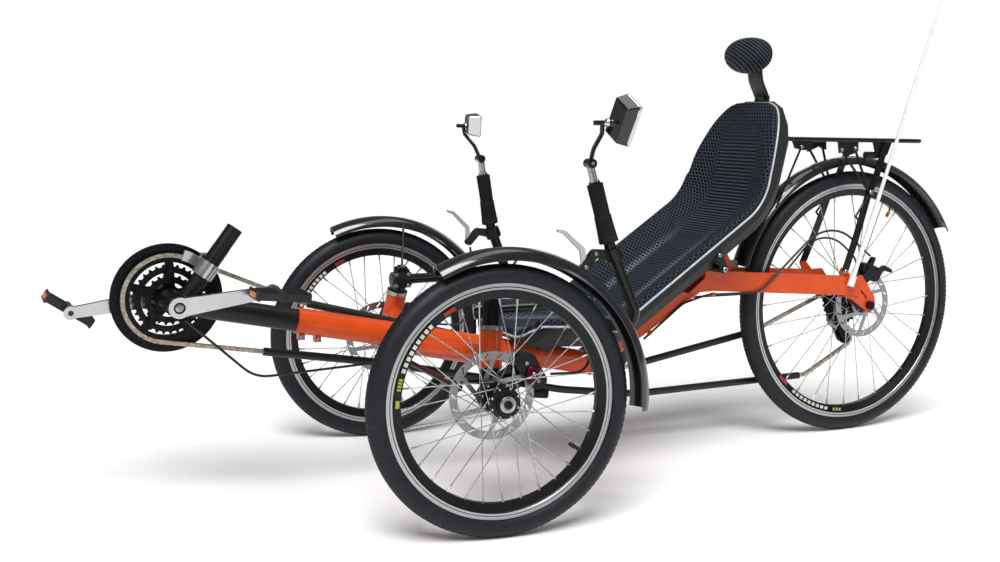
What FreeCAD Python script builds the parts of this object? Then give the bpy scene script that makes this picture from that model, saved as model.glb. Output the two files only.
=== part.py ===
import FreeCAD, Part
import math
import os

V = FreeCAD.Vector
X, Y, Z = V(1, 0, 0), V(0, 1, 0), V(0, 0, 1)

# Recumbent tadpole trike. Millimetres, +X forward, +Y to the rider's left, +Z up.
# The model is laid out from the ground, the centre plane and the front axle line,
# and every solid is then moved so that the bounding box's bottom centre is the origin.

# ---- wheels
FRONT_TYRE_R = 241.0
REAR_TYRE_R = 315.0
TYRE_SECTION_R = 20.5
FRONT_FLANGE_R = FRONT_TYRE_R - 31.5
REAR_FLANGE_R = REAR_TYRE_R - 29.0
RIM_HALF_W = 12.5
RIM_DEPTH = 28.5
BRAKE_BAND = 12.5
SPOKE_COUNT = 32
SPOKE_R = 1.1
DISC_R = 80.0
DISC_T = 2.0
DISC_RING = 15.0
DISC_SLOTS = 18
WHEELBASE = 1085.0
HALF_TRACK = 367.5
CAMBER = 1.4
FRONT_AXLE_R = 10.0
FRONT_DISC_IN = 50.0
REAR_AXLE_R = 6.0
REAR_DISC_Y = 52.0

# ---- steering: the kingpin leans in and back, about a point inside the head tube
PIN_POINT = V(-15, 266, 315)
PIN_LEAN_IN = 13.7
CASTOR = 6.5
PIN_R = 12.5
HEAD_TUBE_R = 22.0
HEAD_BOTTOM = 279.0
HEAD_TOP = 345.0
STEM_TOP = 402.0
REST_STEER = -6.2
ARM_REACH = 62.0
ARM_LEVEL = 255.0
ROD_DROP = 12.0
TIE_ROD_R = 5.0
STUD_R = 4.0
OPEN_EYE_GAP = 1.6
# The rod's hinge leans a little from the kingpin, so that its far end follows the other arm.
ROD_HINGE = V(-0.1678, -0.2456, 1.0)

# ---- handlebar
BAR_R = 11.0
BAR_POINTS = (V(4, 222, 380), V(-150, 252, 385), V(-316, 290, 318), V(-244, 292, 495),
              V(-217, 281, 617))
BAR_BENDS = (60.0, 28.0, 60.0)
GRIP_FROM = 9.0
GRIP_TO = 122.0

# ---- frame tubes
MAIN_TUBE_R = 25.0
BOOM_R = 21.5
MAIN_SLOPE = 11.3
BB_X = 508.0
BB_Z = 388.0
COLLAR_X = 278.0
KNEE_X = -359.0
BEAM_SLOPE = 31.2
BEAM_TOP_X = -716.0
BEAM_HALF = 25.0
BEAM_CORNER = 9.0
ARM_TUBE_R = 19.0
STAY_H = 45.0
STAY_T = 18.0
STAY_FRONT = V(-632, 42, 388)
STAY_REAR = V(35 - WHEELBASE, 72, REAR_TYRE_R + 47)
DROPOUT_IN = 68.0
DROPOUT_T = 8.0
DROPOUT_SLOTS = (  # ends of each slot, from the rear axle
    ((41, 54), (34, 36)), ((25, 34), (18, 27)), ((13, 23), (8, 16)),
)
POST_BASE = V(486, 0, 391)
POST_TOP = V(394, 0, 523)
POST_R = 15.9
POST_SEAT_R = 15.5
POST_SEAT_LENGTH = 45.0

# ---- drive
CRANK_LENGTH = 170.0
CRANK_ANGLE = 7.6
PEDAL_AXLE_R = 5.0
SPINDLE_R = 12.0
BB_SHELL_R = 21.0
BB_HALF_W = 37.0
CRANK_Y = (64.0, 70.0)
CRANK_T = 14.0
CHAIN_Y = -47.0
CHAIN_H = 8.0
CHAIN_PLATE_T = 1.6
CHAIN_GAP = 3.4
TUBE_R = 8.0
TUBE_WALL = 1.2
TUBE_TO_RING = 195.0
RING_T = 2.2
RINGS = (  # tooth radius, y
    (85.0, -47.0),
    (66.0, -40.5),
    (48.0, -34.0),
)
GUARD_R = 103.0
GUARD_Y = -61.5
COGS = (  # tooth radius, y
    (62.0, -18.5),
    (56.0, -23.25),
    (50.0, -28.0),
    (44.0, -32.75),
    (38.0, -37.5),
    (33.0, -42.25),
    (28.0, -47.0),
)
COG_T = 2.0
TOOTH_DEPTH = 4.5

# ---- seat
SEAT_PATH = ((-160, 310), (-356.5, 299), (-724, 553), (-781, 800))
SEAT_BENDS = (120.0, 150.0)
SEAT_HALF_W = 160.0
SHELL_T = 5.0
PAD_T = 20.0
DISH = 36.0
SEAT_SIDE = 33.0
SEAT_CHAMFER = 25.0
SEAT_TOP = (  # half width, height
    (160, 200), (160, 565), (152, 628), (144, 676), (120, 737), (88, 775), (50, 791),
)
SEAT_FRONT = (  # half width, x
    (160, -950), (160, -200), (154, -180), (142, -166), (126, -159),
)

# ---- clearances
RUN = 0.05
GAP = 0.3

# Everything that the chain passes round, in the order it runs over the top ring and back:
# x, z, radius of the chain's centre line, and +1 where it turns anticlockwise seen from
# the right side with +X to the right.
CHAIN_ROUND = (
    (BB_X, BB_Z, RINGS[0][0] - 3.0, 1),
    (214.5, 482.6, 120.0, -1),
    (-474.0, 205.0, 22.0, -1),
    (-789.0, 440.0, 200.0, -1),
    (-WHEELBASE, REAR_TYRE_R, COGS[-1][0] - 3.0, 1),
    (-7.0 - WHEELBASE, REAR_TYRE_R - 52, 20.0, -1),
    (-35.0 - WHEELBASE, REAR_TYRE_R - 101, 20.0, 1),
    (100.0 - WHEELBASE, REAR_TYRE_R - 126, 60.0, 1),
    (-528.0, 272.0, 150.0, 1),
    (-381.5, 442.7, 300.0, 1),
    (152.2, -56.9, 300.0, -1),
)
RING, FRONT_MOUTH, IDLER, REAR_MOUTH, COG, GUIDE, TENSION, LOW_REAR = range(8)


# ------------------------------------------------------------------ helpers
def rod(p, q, r):
    """Round bar of radius r from p to q."""
    d = q - p
    return Part.makeCylinder(r, d.Length, p, d)


def pipe(p, q, r_out, r_in):
    """Straight round tube from p to q."""
    return rod(p, q, r_out).cut(rod(p, q, r_in))


def hex_rod(p, q, r):
    """Six-sided bar of radius r from p to q."""
    d = (q - p).normalize()
    u = d.cross(Y).normalize()
    w = d.cross(u)
    ring = []
    for k in range(7):
        a = math.radians(60 * k)
        ring.append(p + u * (r * math.cos(a)) + w * (r * math.sin(a)))
    return Part.Face(Part.makePolygon(ring)).extrude(q - p)


def fillet_path(points, bends):
    """Wire of straight runs joined by tangent arcs, one radius a corner."""
    edges = []
    start = points[0]
    for i in range(1, len(points) - 1):
        a = (points[i - 1] - points[i]).normalize()
        b = (points[i + 1] - points[i]).normalize()
        half = a.getAngle(b) / 2
        reach = bends[i - 1] / math.tan(half)
        p, q = points[i] + a * reach, points[i] + b * reach
        mid = points[i] + (a + b).normalize() * (bends[i - 1] / math.sin(half) - bends[i - 1])
        edges.append(Part.makeLine(start, p))
        edges.append(Part.Arc(p, mid, q).toShape())
        start = q
    edges.append(Part.makeLine(start, points[-1]))
    return Part.Wire(edges)


def bent_rod(points, r, bends):
    """Round bar of radius r along points, its corners turned at the given radii."""
    if not isinstance(bends, tuple):
        bends = (bends,) * (len(points) - 2)
    path = fillet_path(points, bends)
    section = Part.Wire(Part.makeCircle(r, points[0], points[1] - points[0]))
    return path.makePipeShell([section], True, False)


def polygon(points):
    return Part.Face(Part.makePolygon(list(points) + [points[0]]))


def prism_y(outline, y0, y1):
    """Flat plate: the XZ outline carried from y0 to y1."""
    return polygon([V(x, y0, z) for x, z in outline]).extrude(V(0, y1 - y0, 0))


def prism_x(outline, x0, x1):
    """The YZ outline carried from x0 to x1."""
    return polygon([V(x0, y, z) for y, z in outline]).extrude(V(x1 - x0, 0, 0))


def lathe(outline, p=V(0, 0, 0), d=Y):
    """Turned piece: (distance along d, radius) points revolved about d through p."""
    solid = polygon([V(r, 0, s) for s, r in outline]).revolve(V(0, 0, 0), Z, 360)
    solid.Placement = FreeCAD.Placement(p, FreeCAD.Rotation(Z, d))
    return solid


def square_bar(p, q, half, corner):
    """Bar of rounded square section from p to q, two of its sides square to Y."""
    bar = Part.makeBox((q - p).Length, 2 * half, 2 * half, V(0, -half, -half))
    long_edges = [e for e in bar.Edges if abs(e.tangentAt(e.FirstParameter).x) > 0.9]
    bar = bar.makeFillet(corner, long_edges)
    bar.Placement = FreeCAD.Placement(p, FreeCAD.Rotation(X, q - p))
    return bar


def beyond(p, n):
    """Large block on the side of the plane through p to which n points."""
    s = 200.0
    solid = Part.makeBox(2 * s, 2 * s, s, V(-s, -s, 0))
    solid.Placement = FreeCAD.Placement(p, FreeCAD.Rotation(Z, n))
    return solid


def from_rear(points):
    """(x, z) points given from the rear axle."""
    return [(x - WHEELBASE, z + REAR_TYRE_R) for x, z in points]


def block(x0, x1, y0, y1, z0, z1):
    return Part.makeBox(x1 - x0, y1 - y0, z1 - z0, V(x0, y0, z0))


def moved(shape, vector):
    s = shape.copy()
    s.translate(vector)
    return s


def spun(shape, centre, axis, angle):
    s = shape.copy()
    s.rotate(centre, axis, angle)
    return s


def mirrored(shape):
    return shape.mirror(V(0, 0, 0), Y)


def union(shapes):
    if len(shapes) == 1:
        return shapes[0]
    return shapes[0].fuse(list(shapes[1:])).removeSplitter()


def group(shapes):
    """Several solids that don't touch, kept as one sub-part."""
    solids = []
    for s in shapes:
        solids += s.Solids
    return Part.makeCompound(solids)


def link(p, q, rp, rq, y0, y1):
    """Plate with round ends: radius rp at p and rq at q, both (x, z)."""
    dx, dz = q[0] - p[0], q[1] - p[1]
    base = math.atan2(dz, dx)
    lean = math.acos((rp - rq) / math.hypot(dx, dz))
    ends = []
    for c, r, a0, a1 in ((p, rp, lean, 2 * math.pi - lean), (q, rq, -lean, lean)):
        ends.append([V(c[0] + r * math.cos(base + t), y0, c[1] + r * math.sin(base + t))
                     for t in (a0, (a0 + a1) / 2, a1)])
    wire = Part.Wire([
        Part.Arc(*ends[0]).toShape(),
        Part.makeLine(ends[0][2], ends[1][0]),
        Part.Arc(*ends[1]).toShape(),
        Part.makeLine(ends[1][2], ends[0][0]),
    ])
    return Part.Face(wire).extrude(V(0, y1 - y0, 0))


def links(points, radii, y0, y1):
    """Chain of round-ended plates through the (x, z) points."""
    return union([link(p, q, rp, rq, y0, y1)
                  for p, q, rp, rq in zip(points, points[1:], radii, radii[1:])])


# ------------------------------------------------------------------ wheels
def tyre(outer_r, flange_r):
    """Tyre: round section above the rim flanges, with a bead between them."""
    centre_r = outer_r - TYRE_SECTION_R
    seat_r = flange_r + GAP
    half = math.sqrt(TYRE_SECTION_R ** 2 - (centre_r - seat_r) ** 2)
    bead_half = RIM_HALF_W - 2.3 - GAP
    bead_r = flange_r - 7.5 + GAP
    a, b = V(0, -half, seat_r), V(0, half, seat_r)
    corners = [b, V(0, bead_half, seat_r), V(0, bead_half, bead_r),
               V(0, -bead_half, bead_r), V(0, -bead_half, seat_r), a]
    edges = [Part.Arc(a, V(0, 0, outer_r), b).toShape()]
    for p, q in zip(corners, corners[1:]):
        edges.append(Part.makeLine(p, q))
    return Part.Face(Part.Wire(edges)).revolve(V(0, 0, 0), Y, 360)


def rim(flange_r):
    """Deep rim: braking bands, a tapered inner wall and a tyre well."""
    w = RIM_HALF_W
    inner = flange_r - RIM_DEPTH
    band = flange_r - BRAKE_BAND
    return lathe([
        (-w, flange_r), (-w, band), (-w + 1.5, band - 2), (-6, inner), (6, inner),
        (w - 1.5, band - 2), (w, band), (w, flange_r), (w - 2.3, flange_r),
        (w - 2.3, flange_r - 7.5), (-w + 2.3, flange_r - 7.5), (-w + 2.3, flange_r),
    ])


def spokes(hub_r, flange_ys, inner_r):
    """Crossed spokes from each hub flange to the rim's inner wall."""
    per_side = SPOKE_COUNT // 2
    step = 360.0 / per_side
    start_r = hub_r + SPOKE_R + GAP
    end_r = inner_r - GAP
    bars = []
    for side, flange_y in enumerate(flange_ys):
        out = 1 if flange_y > 0 else -1
        for i in range(per_side):
            lead = 1 if i % 2 == 0 else -1
            a = math.radians(step * i + step / 2 * side)
            b = a + lead * math.radians(3 * step)
            p = V(start_r * math.cos(a), flange_y + out * lead * 2, start_r * math.sin(a))
            q = V(end_r * math.cos(b), out * 1.5, end_r * math.sin(b))
            bars.append(hex_rod(p, q, SPOKE_R))
    return Part.makeCompound(bars)


def disc(y, bore_r):
    """Brake disc: slotted braking ring on six swept arms and a carrier."""
    y0, y1 = y - DISC_T / 2, y + DISC_T / 2
    inner = DISC_R - DISC_RING
    ring = lathe([(y0, DISC_R), (y1, DISC_R), (y1, inner), (y0, inner)])
    carrier = lathe([(y0, 30), (y1, 30), (y1, bore_r), (y0, bore_r)])
    arms, slots = [], []
    for k in range(6):
        a = math.radians(60 * k)
        p = (27 * math.cos(a), 27 * math.sin(a))
        q = (70 * math.cos(a + 0.6), 70 * math.sin(a + 0.6))
        arms.append(link(p, q, 4.5, 4.0, y0, y1))
    for k in range(DISC_SLOTS):
        a = 2 * math.pi * k / DISC_SLOTS
        p = ((inner + 4) * math.cos(a), (inner + 4) * math.sin(a))
        q = ((DISC_R - 4) * math.cos(a + 0.09), (DISC_R - 4) * math.sin(a + 0.09))
        slots.append(link(p, q, 1.6, 1.6, y0 - 1, y1 + 1))
    return union([ring.cut(slots), carrier] + arms)


def toothed(r, y, t, bore):
    """Sprocket: disc with one tooth per half inch of its pitch circle."""
    teeth = int(round(2 * math.pi * (r - 3.0) / 12.7))
    root = r - TOOTH_DEPTH
    outline = []
    for k in range(teeth):
        for frac, rad in ((-0.30, root), (-0.10, r), (0.10, r), (0.30, root)):
            a = 2 * math.pi * (k + frac) / teeth
            outline.append((rad * math.cos(a), rad * math.sin(a)))
    body = prism_y(outline, y - t / 2, y + t / 2)
    return body.cut(rod(V(0, y - t, 0), V(0, y + t, 0), bore))


def front_hub():
    """Front hub shell with two spoke flanges; the disc is bolted inboard."""
    d = -FRONT_DISC_IN
    bore = FRONT_AXLE_R + RUN
    shell = lathe([
        (d, bore), (d, 22), (d + 8, 22), (d + 12, 17), (-28, 17), (-28, 28), (-25, 28),
        (-24, 15), (22, 15), (23, 28), (26, 28), (27, 19), (33, 17), (34, bore),
    ])
    return union([shell, disc(d, bore)])


def rear_hub():
    """Rear hub: spoke flanges, disc on the left, freehub and cogs on the right."""
    bore = REAR_AXLE_R + RUN
    shell = lathe([
        (-52, bore), (-52, 16), (-17, 16), (-15.5, 28), (-12.5, 28), (-11.5, 15), (30, 15),
        (31, 28), (34, 28), (35, 20), (REAR_DISC_Y, 22), (REAR_DISC_Y + 3, 22), (60, 14),
        (60, bore),
    ])
    cogs = [toothed(r, y, COG_T, 15) for r, y in COGS]
    carrier = lathe([(COGS[-1][1], 15), (COGS[-1][1], 19), (COGS[0][1], 19), (COGS[0][1], 15)])
    return union([shell, disc(REAR_DISC_Y, bore), carrier] + cogs)


def front_centre():
    lean = math.radians(CAMBER)
    z = (FRONT_TYRE_R - TYRE_SECTION_R) * math.cos(lean) + TYRE_SECTION_R
    return V(0, HALF_TRACK, z)


def axle_direction():
    lean = math.radians(CAMBER)
    return V(0, math.cos(lean), math.sin(lean))


def front_wheel():
    """Pieces of the left front wheel, set on its cambered axle."""
    pieces = {
        "front_tyre": tyre(FRONT_TYRE_R, FRONT_FLANGE_R),
        "front_rim": rim(FRONT_FLANGE_R),
        "front_spokes": spokes(28.0, (24.5, -26.5), FRONT_FLANGE_R - RIM_DEPTH),
        "front_hub": front_hub(),
    }
    return {name: moved(spun(s, V(0, 0, 0), X, CAMBER), front_centre())
            for name, s in pieces.items()}


def rear_wheel():
    pieces = {
        "rear_tyre": tyre(REAR_TYRE_R, REAR_FLANGE_R),
        "rear_rim": rim(REAR_FLANGE_R),
        "rear_spokes": spokes(28.0, (32.5, -14.0), REAR_FLANGE_R - RIM_DEPTH),
        "rear_hub": rear_hub(),
    }
    return {name: moved(s, rear_centre()) for name, s in pieces.items()}


def rear_centre():
    return V(-WHEELBASE, 0, REAR_TYRE_R)


# ------------------------------------------------------------------ frame
def on_main(x):
    """Point at x on the common axis of the boom and the main tube."""
    return V(x, 0, BB_Z - (BB_X - x) * math.tan(math.radians(MAIN_SLOPE)))


def on_beam(x):
    """Point at x on the axis of the beam that rises behind the seat."""
    knee = on_main(KNEE_X)
    return V(x, 0, knee.z + (KNEE_X - x) * math.tan(math.radians(BEAM_SLOPE)))


def pin_axis(side=1):
    lean_in, back = math.radians(PIN_LEAN_IN), math.radians(CASTOR)
    return V(-math.tan(back), -side * math.tan(lean_in), 1).normalize()


def on_pin(z, side=1):
    """Point at height z on the kingpin's axis."""
    u = pin_axis(side)
    p = V(PIN_POINT.x, side * PIN_POINT.y, PIN_POINT.z)
    return p + u * ((z - p.z) / u.z)


def frame_core(extra=0.0):
    """Round main tube mitred to the square beam at the knee, grown by extra on every side."""
    knee, top = on_main(KNEE_X), on_beam(BEAM_TOP_X)
    ahead, up = (on_main(COLLAR_X) - knee).normalize(), (top - knee).normalize()
    main = rod(knee - ahead * 60, on_main(COLLAR_X), MAIN_TUBE_R + extra)
    beam = square_bar(knee - up * 60, top + up * extra, BEAM_HALF + extra, BEAM_CORNER)
    return union([main.cut(beyond(knee, up - ahead)), beam.cut(beyond(knee, ahead - up))])


def clamp_lugs():
    """Two split lugs under the collar that pinch the boom."""
    lugs = []
    for x in (COLLAR_X - 10, COLLAR_X - 42):
        p = on_main(x)
        lugs.append(block(x - 6, x + 6, -9, 9, p.z - MAIN_TUBE_R - 11, p.z - MAIN_TUBE_R + 8))
    return lugs


def main_frame():
    """Main tube, beam, cross arms and head tubes, welded into one piece."""
    pieces = [frame_core()] + clamp_lugs()
    for side in (1, -1):
        root = on_main(45) - Z * 17
        pieces.append(rod(on_pin(HEAD_BOTTOM, side), on_pin(HEAD_TOP, side), HEAD_TUBE_R))
        pieces.append(rod(root, on_pin(302, side), ARM_TUBE_R))
    body = union(pieces)
    for side in (1, -1):
        body = body.cut(rod(on_pin(HEAD_BOTTOM - 20, side), on_pin(HEAD_TOP + 20, side),
                            PIN_R + RUN))
    return body.cut(rod(on_main(COLLAR_X - 110), on_main(COLLAR_X + 5), BOOM_R + GAP))


def boom():
    """Sliding boom with the bottom bracket shell and the derailleur post."""
    tube = rod(on_main(COLLAR_X - 105), on_main(BB_X), BOOM_R)
    shell = rod(V(BB_X, -BB_HALF_W, BB_Z), V(BB_X, BB_HALF_W, BB_Z), BB_SHELL_R)
    d = (POST_TOP - POST_BASE).normalize()
    shoulder = POST_TOP - d * POST_SEAT_LENGTH
    body = union([tube, shell, rod(POST_BASE, shoulder, POST_R),
                  rod(shoulder, POST_TOP, POST_SEAT_R)])
    hollow = rod(POST_TOP - d * 60, POST_TOP + d * 5, POST_SEAT_R - 2.5)
    return body.cut(rod(V(BB_X, -60, BB_Z), V(BB_X, 60, BB_Z), SPINDLE_R + RUN)).cut(hollow)


def stay(side):
    """Rectangular rear stay, its foot on the beam and its slotted dropout."""
    a = V(STAY_FRONT.x, side * STAY_FRONT.y, STAY_FRONT.z)
    b = V(STAY_REAR.x, side * STAY_REAR.y, STAY_REAR.z)
    h, t = STAY_H / 2, STAY_T / 2
    bar = polygon([a + V(0, -t, -h), a + V(0, t, -h), a + V(0, t, h), a + V(0, -t, h)])
    y0, y1 = sorted((side * DROPOUT_IN, side * (DROPOUT_IN + DROPOUT_T)))
    plate = prism_y(from_rear([(72, 70), (24, 72), (-17, 20), (-20, -2), (-6, -20), (16, -7),
                               (47, 14), (72, 21)]), y0, y1)
    f0, f1 = sorted((side * 16.0, side * (STAY_FRONT.y + t)))
    foot = prism_y([(-590, 362), (-650, 409), (-690, 406), (-660, 364)], f0, f1)
    low, high = from_rear([(63, 61), (79, 83)])
    eyelet = link(low, high, 12, 9, y0 + 1, y1 - 1)
    body = union([bar.extrude(b - a), plate, foot, eyelet]).cut(frame_core(GAP))
    slots = []
    for ends in DROPOUT_SLOTS:
        p, q = from_rear(ends)
        slots.append(link(p, q, 2.6, 2.6, y0 - 1, y1 + 1))
    c = rear_centre()
    axle_hole = rod(c + Y * (y0 - 1), c + Y * (y1 + 1), REAR_AXLE_R + GAP)
    return body.cut(slots + [axle_hole])


def rear_axle():
    """Through axle with spacers and end nuts, held in the dropouts."""
    outer = DROPOUT_IN + DROPOUT_T
    return lathe([
        (-outer - 9, 0), (-outer - 9, 10), (-outer - GAP, 10), (-outer - GAP, REAR_AXLE_R),
        (-DROPOUT_IN + GAP, REAR_AXLE_R), (-DROPOUT_IN + GAP, 10), (-52.5, 10),
        (-52.5, REAR_AXLE_R), (60.5, REAR_AXLE_R), (60.5, 10), (DROPOUT_IN - GAP, 10),
        (DROPOUT_IN - GAP, REAR_AXLE_R), (outer + GAP, REAR_AXLE_R), (outer + GAP, 10),
        (outer + 9, 10), (outer + 9, 0),
    ], rear_centre())


# ------------------------------------------------------------------ steering, left side
def arm_direction():
    """Forward direction square to the kingpin."""
    u = pin_axis()
    return (X - u * X.dot(u)).normalize()


def rod_end(side=1):
    """Centre of the tie rod's eye on the straight-ahead steering arm."""
    p = on_pin(ARM_LEVEL) + arm_direction() * ARM_REACH - pin_axis() * ROD_DROP
    return V(p.x, side * p.y, p.z)


def knuckle():
    """Kingpin, block, axle, steering arm, rod stud and caliper bracket in one forging."""
    c, a, u, f = front_centre(), axle_direction(), pin_axis(), arm_direction()
    pin = rod(on_pin(234), on_pin(391), PIN_R)
    body = rod(on_pin(228), on_pin(HEAD_BOTTOM) - u * 0.5, 19)
    shoulder = rod(c - a * 82, c - a * (FRONT_DISC_IN + 1.5), 15)
    axle = rod(c - a * 82, c + a * 34.5, FRONT_AXLE_R)
    cap = rod(c + a * 34.5, c + a * 40, 14)
    level = on_pin(ARM_LEVEL)
    boss = rod(level + f * ARM_REACH - u * 3.5, level + f * ARM_REACH + u * 3.5, 10)
    arm = Part.makeBox(ARM_REACH, 16, 8)
    arm.Placement = FreeCAD.Placement(level, FreeCAD.Rotation(f, u.cross(f), u, "ZXY"))
    arm.translate(-(u.cross(f)) * 8 - u * 4)
    end, h = rod_end(), V(ROD_HINGE).normalize()
    stud = rod(end - h * 7, end + h * 10.5, STUD_R)
    y = c.y - FRONT_DISC_IN
    ear = prism_y([(-14, 226), (14, 226), (12, 256), (-58, 302), (-92, 292), (-92, 262)],
                  y - 19.5, y - 13.5)
    return union([pin, body, shoulder, axle, cap, arm, boss, stud, ear])


def upright():
    """Unit direction of the bar just below the grip."""
    return (BAR_POINTS[3] - BAR_POINTS[2]).normalize()


def grip_direction():
    return (BAR_POINTS[4] - BAR_POINTS[3]).normalize()


def handlebar():
    """Stem round the kingpin, bent bar and the brake lever's perch."""
    u = pin_axis()
    collar = rod(on_pin(HEAD_TOP) + u * 0.5, on_pin(HEAD_TOP) + u * 9, 23)
    neck = rod(on_pin(HEAD_TOP) + u * 9, on_pin(STEM_TOP), 17.5)
    start = BAR_POINTS[0]
    run = (BAR_POINTS[1] - start).normalize()
    clamp = rod(start + run * 2, start + run * 44, 17)
    bridge = rod(on_pin(379), start + run * 23, 12.5)
    face = block(-19, 19, -6, 0, -17, 17)
    face.Placement = FreeCAD.Placement(start + run * 23 - Y * 11, FreeCAD.Rotation(X, run * -1))
    bar = bent_rod(BAR_POINTS, BAR_R, BAR_BENDS)
    d = upright()
    top = BAR_POINTS[3]
    ring = rod(top - d * 26, top - d * 3, 17)
    y = top.y
    perch = links([(-243, 480), (-212, 484), (-192, 460)], [10, 8, 8], y - 7, y + 7)
    slot = block(-206, -170, y - 3.3, y + 3.3, 440, 492)
    perch = perch.cut(slot)
    body = union([collar, neck, clamp, bridge, face, bar, ring, perch])
    return body.cut(rod(on_pin(320), on_pin(391), PIN_R + RUN))


def grip():
    """Twist shifter collar below and a foam grip above, over the bar."""
    bore = BAR_R + RUN
    mid = GRIP_FROM + (GRIP_TO - GRIP_FROM) * 0.45
    return lathe([(GRIP_FROM, bore), (GRIP_FROM, 18.5), (mid, 16.0), (mid + 1, 15.0),
                  (GRIP_TO, 15.5), (GRIP_TO, bore)], BAR_POINTS[3], grip_direction())


def brake_lever():
    """Reverse lever: its blade rises from the perch in front of the grip."""
    y = BAR_POINTS[3].y
    return links([(-192, 458), (-187, 493), (-152, 526), (-140, 529)], [6, 5, 3.5, 2.5],
                 y - 3, y + 3)


MIRROR_C = V(-239, 393, 731)
MIRROR_HALF_W = 42.0
MIRROR_HALF_H = 26.0
MIRROR_DEPTH = 30.0
MIRROR_TURN_IN = 10.0
MIRROR_ROLL = {1: 58.0, -1: 6.0}
MIRROR_BALL = V(-202, 381, 727)
MIRROR_ARM = (V(-209, 281, 652), V(-204, 310, 680), V(-196, 368, 708), V(-194, 374, 727))


def mirror_arm(roll):
    """Bar-end plug, cross clamp, bent arm and the ball behind the mirror."""
    plug = lathe([(GAP, 0), (GAP, 10), (3, 10), (3, 7.5), (31, 7.5), (31, 0)], BAR_POINTS[4],
                 grip_direction())
    foot, top = MIRROR_ARM[0], MIRROR_ARM[3]
    clamp = rod(foot - Y * 13, foot + Y * 13, 9)
    arm = bent_rod(MIRROR_ARM, 4.2, (40.0, 9.0))
    screw = rod(top - X * 4, top + X * 16, 4.5)
    neck = rod(top, MIRROR_BALL, 4)
    pieces = [plug, clamp, arm, screw, neck, Part.makeSphere(8, MIRROR_BALL)]
    return union(pieces).cut(mirror(roll, GAP))


def mirror(roll, extra=0.0):
    """Box housing that narrows away from its glass, rolled about its own axis."""
    ends = []
    for x, share in ((-extra, 1.0), (MIRROR_DEPTH + extra, 0.84)):
        w, h = (MIRROR_HALF_W + extra) * share, (MIRROR_HALF_H + extra) * share
        ends.append(Part.makePolygon([V(x, -w, -h), V(x, w, -h), V(x, w, h), V(x, -w, h),
                                      V(x, -w, -h)]))
    head = Part.makeLoft(ends, True, True)
    head = head.makeFillet(3.5, head.Edges)
    head.rotate(V(0, 0, 0), X, roll)
    head.rotate(V(0, 0, 0), Z, MIRROR_TURN_IN)
    head.translate(MIRROR_C)
    return head


FENDER_C = V(-7.5, HALF_TRACK, 234.6)
FENDER_R = 277.4
FENDER_HALF_W = 28.0
FENDER_T = 1.8
FENDER_DROP = 21.0


def fender_strip(centre, r, half_w, drop, a0, a1):
    """Crowned strip of a mudguard between two angles measured from +X."""
    t, edge = FENDER_T, r - drop
    outer = Part.Arc(V(edge, -half_w, 0), V(r, 0, 0), V(edge, half_w, 0)).toShape()
    inner = Part.Arc(V(edge - t, half_w, 0), V(r - t, 0, 0), V(edge - t, -half_w, 0)).toShape()
    left = Part.makeLine(V(edge, half_w, 0), V(edge - t, half_w, 0))
    right = Part.makeLine(V(edge - t, -half_w, 0), V(edge, -half_w, 0))
    face = Part.Face(Part.Wire([outer, left, inner, right]))
    face.rotate(V(0, 0, 0), Y, -a0)
    strip = face.revolve(V(0, 0, 0), -Y, a1 - a0)
    strip.translate(centre)
    return strip


def fender():
    """Front mudguard on a thin stay that rises from the stem."""
    strip = fender_strip(FENDER_C, FENDER_R, FENDER_HALF_W, FENDER_DROP, 63.6, 187.0)
    strip.rotate(front_centre(), X, CAMBER)
    foot = on_pin(STEM_TOP) + pin_axis() * GAP
    top = V(-52, 352, 506)
    stay_rod = rod(foot + V(0, 0, 3), top, 2.5)
    pad = rod(foot, foot + pin_axis() * 5, 12)
    return union([strip, stay_rod, pad])


def caliper():
    """Disc caliper astride the disc, behind and above the axle."""
    c = front_centre()
    y = c.y - FRONT_DISC_IN
    body = links([(-62, 296), (-84, 262)], [20, 17], y - 13.2, y + 14)
    slot = rod(V(0, y - 2.8, c.z), V(0, y + 2.8, c.z), DISC_R + 4)
    knob = rod(V(-74, y + 13, 276), V(-74, y + 18, 276), 14)
    barrel = rod(V(-80, y - 20, 234), V(-113, y - 20, 230), 10)
    hanger = block(-94, -76, y - 22, y - 13.2, 234, 252)
    return union([body.cut(slot), knob, barrel, hanger])


# ------------------------------------------------------------------ tie rod
def tie_rod():
    """Straight rod between the two steering arms, with an eye at each end."""
    a, b = rod_end(1), rod_end(-1)
    h = V(ROD_HINGE).normalize()
    far = V(h.x, -h.y, h.z)
    eyes = [rod(a - h * 5, a + h * 5, 10), rod(b - far * 5, b + far * 5, 10)]
    body = union([rod(a, b, TIE_ROD_R)] + eyes)
    body = body.cut(rod(a - h * 20, a + h * 20, STUD_R + RUN))
    return body.cut(rod(b - far * 20, b + far * 20, STUD_R + OPEN_EYE_GAP))


# ------------------------------------------------------------------ drive
def crank_end(side):
    """Pedal axle: the right crank points forward and down, the left one back and up."""
    a = math.radians(CRANK_ANGLE)
    return V(BB_X - side * CRANK_LENGTH * math.cos(a), 0,
             BB_Z + side * CRANK_LENGTH * math.sin(a))


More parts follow.
